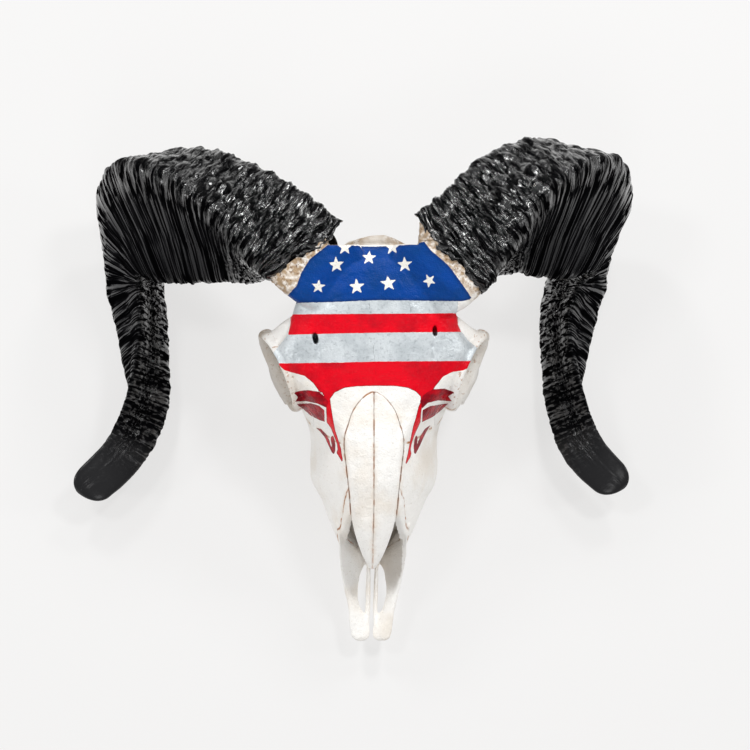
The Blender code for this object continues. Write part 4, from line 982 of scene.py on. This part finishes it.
NOSE_DRIFT = 1.8
NOSE_DRIFT_RANGE = (-70.0, -150.0)
trees = {name: BVHTree.FromObject(obj, bpy.context.evaluated_depsgraph_get()) for name, obj in bones.items()}
boxes = {}
for name, obj in bones.items():
    points = read_points(obj)
    boxes[name] = (points.min(axis=0) - 4, points.max(axis=0) + 4)
rims = np.array([rim_path(sign, 90) for sign in SIDES.values()]).reshape(-1, 3)
for name, obj in bones.items():
    points, normals = read_points(obj), read_normals(obj)
    flat = points[:, :2]
    # Paint lies only on what faced the painter: the roof and the upper sides of the face.
    depth = np.interp(points[:, 1], (-14.0, 0.0), (-50.0, -25.0))
    least_slope = np.where(points[:, 1] > 83, 0.35, -0.03)
    open_to_brush = np.minimum((normals[:, 2] - least_slope) * 6, points[:, 2] - depth)
    blue_distance = outline_distance(flat, BLUE_FIELD)
    bands = np.max([outline_distance(flat, shape) for shape in RED_BANDS], axis=0)
    scrolls = np.max([outline_distance(flat, shape) for shape in SCROLLS], axis=0)
    silver_distance = np.max([outline_distance(flat, shape) for shape in SILVER_BANDS], axis=0)
    stars = np.max([outline_distance(flat, star_outline(*row)) for row in STARS], axis=0) + 0.2
    keep_field(obj, "blue", np.minimum(blue_distance, open_to_brush))
    keep_field(obj, "red", np.minimum(np.maximum(bands, scrolls), open_to_brush))
    keep_field(obj, "outline", np.where(points[:, 1] > 4, 9.0, np.maximum(bands, scrolls)))
    keep_field(obj, "scroll", scrolls)
    keep_field(obj, "silver", np.minimum(silver_distance, open_to_brush))
    keep_field(obj, "star", np.minimum(stars, blue_distance))
    paint = np.maximum(np.maximum(blue_distance, silver_distance), np.maximum(bands, scrolls))
    keep_field(obj, "enamel", np.minimum(np.minimum(paint, -stars), open_to_brush))
    shaken = flat + 0.35 * np.stack([bumps(points, 2.5), bumps(points + 9, 2.5)], 1)
    crack_and_hole_shade = np.min([line_distance(shaken, line) for line in CRACKS], axis=0) + 0.3
    # Painted shade: the insides of the brow holes are darkened in colour like the cracks.
    for middle, radii, _, _, _ in BROW_HOLES.values():
        crack_and_hole_shade = np.minimum(crack_and_hole_shade, np.maximum(0.0, np.hypot(*((flat - middle[:2]) / radii[:2]).T) - 0.75) * 2)
    keep_field(obj, "crack_and_hole_shade", crack_and_hole_shade)
    if "tooth" not in obj.data.attributes:
        keep_field(obj, "tooth", np.full(len(points), -1.0))
    seam = np.full(len(points), 5.0)
    for other, (low, high) in boxes.items():
        if other == name:
            continue
        for k in np.nonzero(np.all((points > low) & (points < high), axis=1))[0]:
            hit = trees[other].find_nearest(Vector(points[k]), 4.0)
            if hit[0] is not None:
                seam[k] = min(seam[k], hit[3])
    seam[np.abs(np.abs(points[:, 0]) - CHEEK_BONE_SIDE) < 1.6] = 5.0
    keep_field(obj, "seam", seam)
    rim = np.full(len(points), 9.0)
    near = np.abs(points[:, 0]) > 30
    for k in range(0, len(rims), 3):
        rim[near] = np.minimum(rim[near], np.linalg.norm(points[near] - rims[k], axis=1))
    keep_field(obj, "rim", np.maximum(0.0, rim - 3.2))
    root = np.full(len(points), 30.0)
    for side in SIDES:
        ahead, off = rim_plane(points, side)
        below_rim = -ahead + 2.0 - 7.0 * step_up(points[:, 1], 83.5, 86.0)
        root = np.minimum(root, np.where(off < 56, below_rim, 30.0))
    keep_field(obj, "root", np.maximum(root, 0.0))
    # Painted shade, kept as a field: the nose's inner walls on the animal's left, the strip behind the
    # forehead's top edge and the orbit cups (more on the animal's right) are darkened in colour as if in
    # shade.
    in_nose = name.startswith(("premaxilla", "maxilla", "vomer"))
    airway = (np.abs(points[:, 0]) < 18) & (points[:, 1] < -60) & in_nose
    inward = step_up(-normals[:, 0] * np.sign(points[:, 0]), 0.1, 0.6) * (points[:, 0] > 0)
    shade = airway * inward * np.maximum(0.0, -22 - points[:, 2]) * step_up(points[:, 1], -142.0, -104.0)
    shade = np.maximum(shade, 13.0 * step_up(points[:, 1], 85.0, 86.6))
    cup = step_up(np.abs(points[:, 0]), 42.0, 52.0) * step_up(-points[:, 2], 18.0, 30.0)
    cup *= (points[:, 1] < 33) & (points[:, 1] > -16)
    keep_field(obj, "painted_shade", np.maximum(shade, cup * np.where(points[:, 0] < 0, 18.0, 8.0)))


def lay_down(obj):
    """Face frame in millimetres to the floor in metres; what would pass the floor is worn flat."""
    points = read_points(obj)
    if not obj.name.startswith("horn"):
        start, end = NOSE_DRIFT_RANGE
        points[:, 0] -= NOSE_DRIFT * np.clip((points[:, 1] - start) / (end - start), 0, 1)
    matrix = np.array(LAID)
    points = points @ matrix[:3, :3].T + matrix[:3, 3]
    points[:, 2] = np.maximum(points[:, 2], 0.0)
    write_points(obj, points)
    obj.data.polygons.foreach_set("use_smooth", np.ones(len(obj.data.polygons), bool))
    obj.data.set_sharp_from_angle(angle=math.radians(42))


for obj in bones.values():
    lay_down(obj)


# Horns: hollow sheaths of keratin, grown in rings from the rim, coarse and wrinkled in front,
# finely lined on the flank, and painted with a gloss black that pools between the wrinkles.
HORN_RINGS = 860
HORN_SIDES = 256
RIDGE_SPACING = 10.5
TIP_ROUNDING = 13.0
LIP_SHARE = 0.957

# Gloss enamel over horn: near black; its gloss is broken by the fine growth lines; its grey is dust and
# painted sheen.
HORN_BLACK, HORN_DUST_AND_SHEEN = "#050506", "#29292B"
keratin = bpy.data.materials.new("black_enamelled_horn")
keratin.use_nodes = True
tree = keratin.node_tree
shader = tree.nodes["Principled BSDF"]
where = add(tree, "ShaderNodeAttribute", out="Vector", attribute_name="grown")
flank = add(tree, "ShaderNodeAttribute", out="Fac", attribute_name="flank")
calm = add(tree, "ShaderNodeAttribute", out="Fac", attribute_name="calm")
# Growth lines lie across the horn: 1.2 mm along it and 60 mm round it. Wrinkles: 1.9 mm by 6 mm.
lines = add(tree, "ShaderNodeVectorMath", {0: where, 1: (1 / 1.2, 1 / 60.0, 1 / 60.0)}, operation="MULTIPLY")
lines = add(tree, "ShaderNodeTexNoise", {"Vector": lines, "Scale": 1.0, "Detail": 3.0})
creases = add(tree, "ShaderNodeVectorMath", {0: where, 1: (1 / 1.9, 1 / 6.0, 1 / 6.0)}, operation="MULTIPLY")
creases = add(tree, "ShaderNodeTexNoise", {"Vector": creases, "Scale": 1.0, "Detail": 4.0, "Distortion": 0.6})
height = add(tree, "ShaderNodeMix", {0: flank, 2: creases, 3: lines})
ridge = {"Value": height, "From Min": 0.44, "From Max": 0.62}
ridge = add(tree, "ShaderNodeMapRange", ridge, interpolation_type="SMOOTHSTEP")
ridge = add(tree, "ShaderNodeMath", {0: ridge, 1: calm}, operation="MAXIMUM")
# Grey on the flank's growth-line ridges and the smooth tips: partly dust, partly a painted sheen where light
# catches them.
dust_and_sheen = add(tree, "ShaderNodeMath", {0: flank, 1: ridge}, operation="MULTIPLY")
shades = {0: dust_and_sheen, 6: linear(HORN_BLACK), 7: linear(HORN_DUST_AND_SHEEN)}
colour = add(tree, "ShaderNodeMix", shades, 2, data_type="RGBA")
tree.links.new(colour, shader.inputs["Base Color"])
# The gloss sits on the ridges; dust and shade dull it between them.
shine = add(tree, "ShaderNodeMapRange", {"Value": ridge, "To Min": 0.03, "To Max": 0.95})
even = add(tree, "ShaderNodeMath", {0: flank, 1: calm}, operation="MAXIMUM")
shine = add(tree, "ShaderNodeMath", {0: even, 1: -0.62, 2: shine}, operation="MULTIPLY_ADD", use_clamp=True)
tree.links.new(shine, shader.inputs["Specular IOR Level"])
coat = add(tree, "ShaderNodeMath", {0: even, 1: -1.0, 2: ridge}, operation="MULTIPLY_ADD", use_clamp=True)
tree.links.new(coat, shader.inputs["Coat Weight"])
shader.inputs["Coat Roughness"].default_value = 0.14
gloss = add(tree, "ShaderNodeMapRange", {"Value": flank, "To Min": 0.19, "To Max": 0.4})
tree.links.new(gloss, shader.inputs["Roughness"])
depth = add(tree, "ShaderNodeMath", {0: 1.0, 1: calm}, operation="SUBTRACT")
height = add(tree, "ShaderNodeMath", {0: height, 1: depth}, operation="MULTIPLY")
bump = add(tree, "ShaderNodeBump", {"Height": height, "Strength": 1.0, "Distance": 0.0021}, out="Normal")
tree.links.new(bump, shader.inputs["Normal"])

for side, sign in SIDES.items():
    frames, sizes, run = horn_axis(side, HORN_RINGS)
    length = run[-1]
    centres = np.array([f[0] for f in frames])
    across = np.array([f[2] for f in frames])
    inner = np.array([f[3] for f in frames])
    turns, _, _ = horn_section(1.0, 1.0, HORN_SIDES)
    sections = [horn_section(height, width, HORN_SIDES)[1:] for height, width in sizes]
    us, vs = (np.array([s[k] for s in sections]) for k in (0, 1))
    left = (length - run)[:, None]
    blunt = np.maximum(0.12, np.sqrt(np.maximum(0.0, 1 - np.maximum(0.0, 1 - left / TIP_ROUNDING) ** 2.4)))
    fade = np.minimum(1.0, left / 110.0)
    front = 0.5 - 0.5 * np.sin(turns)[None, :]
    wave = np.sin(2 * math.pi * run[:, None] / RIDGE_SPACING + 0.9 * np.sin(2 * turns)[None, :])
    swell = 1 + 0.014 * fade * (0.35 + 0.65 * front) * wave
    out = across[:, None, :] * us[:, :, None] + inner[:, None, :] * vs[:, :, None]
    grid = centres[:, None, :] + out * (swell * blunt)[:, :, None]
    # Inside the tight bend the rings would cross: there the surface is drawn smooth along the horn.
    along_all = np.array([f[1] for f in frames])
    advance = np.einsum("rsk,rk->rs", np.diff(grid, axis=0, append=grid[-1:]), along_all)
    crossed = (advance < 0.12) & (run[:, None] > 60) & (run[:, None] < length - 30)
    spread = crossed.astype(float)
    for _ in range(60):
        spread[1:-1] = np.maximum(spread[1:-1], 0.97 * np.maximum(spread[:-2], spread[2:]))
        spread = np.maximum(spread, 0.9 * np.maximum(np.roll(spread, 1, 1), np.roll(spread, -1, 1)))
    spread = np.clip(spread * 1.6 - 0.5, 0, 1)[1:-1, :, None]
    for _ in range(500):
        grid[1:-1] += spread * 0.48 * ((grid[:-2] + grid[2:]) / 2 - grid[1:-1])
    points = grid.reshape(-1, 3)
    radial = (out / np.linalg.norm(out, axis=2, keepdims=True)).reshape(-1, 3)
    at = np.repeat(run, HORN_SIDES)
    # The flank that faces the orbit has only fine lines; the rest is wrinkled.
    c = np.tile(np.cos(turns) * -sign, HORN_RINGS)
    s = np.tile(np.sin(turns), HORN_RINGS)
    grown = np.stack([at, 30 * c, 30 * s], axis=1)
    flank_share = step_up(c, -0.05, 0.25) * step_up(s, -0.9, -0.55)
    rough = 1 - flank_share * step_up(at, 18.0, 62.0)
    rough *= 1 - 0.45 * step_up(at, 120.0, 200.0)
    tip_calm = step_up(-(length - at), -62.0, -18.0)
    warped = grown + np.stack([3.0 * bumps(grown, 17.0) + 1.2 * bumps(grown, 6.0), 0 * at, 0 * at], axis=1)
    wrinkle = np.abs(bumps(warped, (2.3, 7.0, 7.0))) ** 0.7 - 0.4
    small = np.abs(bumps(warped + 31, (1.3, 3.6, 3.6))) ** 0.8 - 0.35
    folds = np.abs(bumps(grown, (45.0, 9.0, 9.0))) ** 0.8 - 0.35
    dents = bumps(grown + 53, 4.2)
    lift = rough * (2.0 * wrinkle + 1.0 * small + 2.2 * folds + 0.7 * dents) - 1.9
    growth_lines = 0.26 * bumps(warped, (1.3, 60.0, 60.0)) + 0.42 * bumps(warped + 7, (4.0, 70.0, 70.0))
    lift += (1 - rough) * growth_lines
    knobs = step_up(s, 0.8, 0.97) * step_up(at, 150.0, 200.0)
    lift += 0.9 * knobs * bumps(grown + 5, (5.5, 30.0, 30.0))
    lift *= 1 - 0.93 * tip_calm
    lift += 0.4 * tip_calm * bumps(grown + 3, 16.0) * step_up(length - at, 0.0, 10.0)
    points = points + radial * lift[:, None]
    # The rim is ragged: its first rings reach back over the bony root by a few millimetres.
    along = np.array(frames[0][1])
    round_rim = np.stack([at * 0, 36 * c, 36 * s], 1)
    ragged = 2.6 + 2.2 * bumps(round_rim, 5.0) + 1.6 * bumps(round_rim + 9, 2.0)
    start, slope = RIM_AHEAD[side]
    point = step_up(-c[:HORN_SIDES], 0.93, 0.99)
    notch = step_up(-c[:HORN_SIDES], 0.45, 0.8) * (1 - point)
    ahead = start - sign * slope * us[0] + RIM_NOTCH * (notch - point)
    points = points - along * (ragged * step_up(-at, -7.0, 0.0))[:, None]
    points = points + along * (np.tile(ahead, HORN_RINGS) * step_up(-at, -32.0, 0.0))[:, None]
    grid = points.reshape(HORN_RINGS, HORN_SIDES, 3)
    axis_point = centres[0] + along * start
    outer_lip = axis_point + (grid[0] - axis_point) * LIP_SHARE
    inner_lip = centres[0] + out[0] * LIP_SHARE + along * ahead[:, None]
    ends = [axis_point, points[-HORN_SIDES:].mean(axis=0)]
    verts = np.concatenate([inner_lip, outer_lip, grid.reshape(-1, 3), ends])
    rows = HORN_RINGS + 2
    near_end, far_end = rows * HORN_SIDES, rows * HORN_SIDES + 1
    faces = []
    k = np.arange(HORN_SIDES)
    n = (k + 1) % HORN_SIDES
    for r in range(rows - 1):
        low, high = r * HORN_SIDES, (r + 1) * HORN_SIDES
        faces.append(np.stack([low + k, low + n, high + n, high + k], 1))
    faces = np.concatenate(faces).tolist()
    faces += [[near_end, int(b), int(a)] for a, b in zip(k, n)]
    last = (rows - 1) * HORN_SIDES
    faces += [[far_end, int(a), int(b)] for a, b in zip(k + last, n + last)]
    data = bpy.data.meshes.new("horn")
    data.from_pydata(verts.tolist(), [], faces)
    horn = object_from(f"horn_{side}_fine", data)
    padding = np.zeros((2 * HORN_SIDES, 3))
    full = np.concatenate([padding, grown, [[0, 0, 0]], [[length, 0, 0]]])
    attribute = data.attributes.new("grown", "FLOAT_VECTOR", "POINT")
    attribute.data.foreach_set("vector", full.astype(np.float32).ravel())
    for name, values in (("flank", 1 - rough), ("calm", tip_calm)):
        keep_field(horn, name, np.concatenate([np.zeros(2 * HORN_SIDES), values, [0.0, 1.0]]))
    data.materials.append(keratin)
    lay_down(horn)
    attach(horn, "root")
    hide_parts(f"horn_{side}")
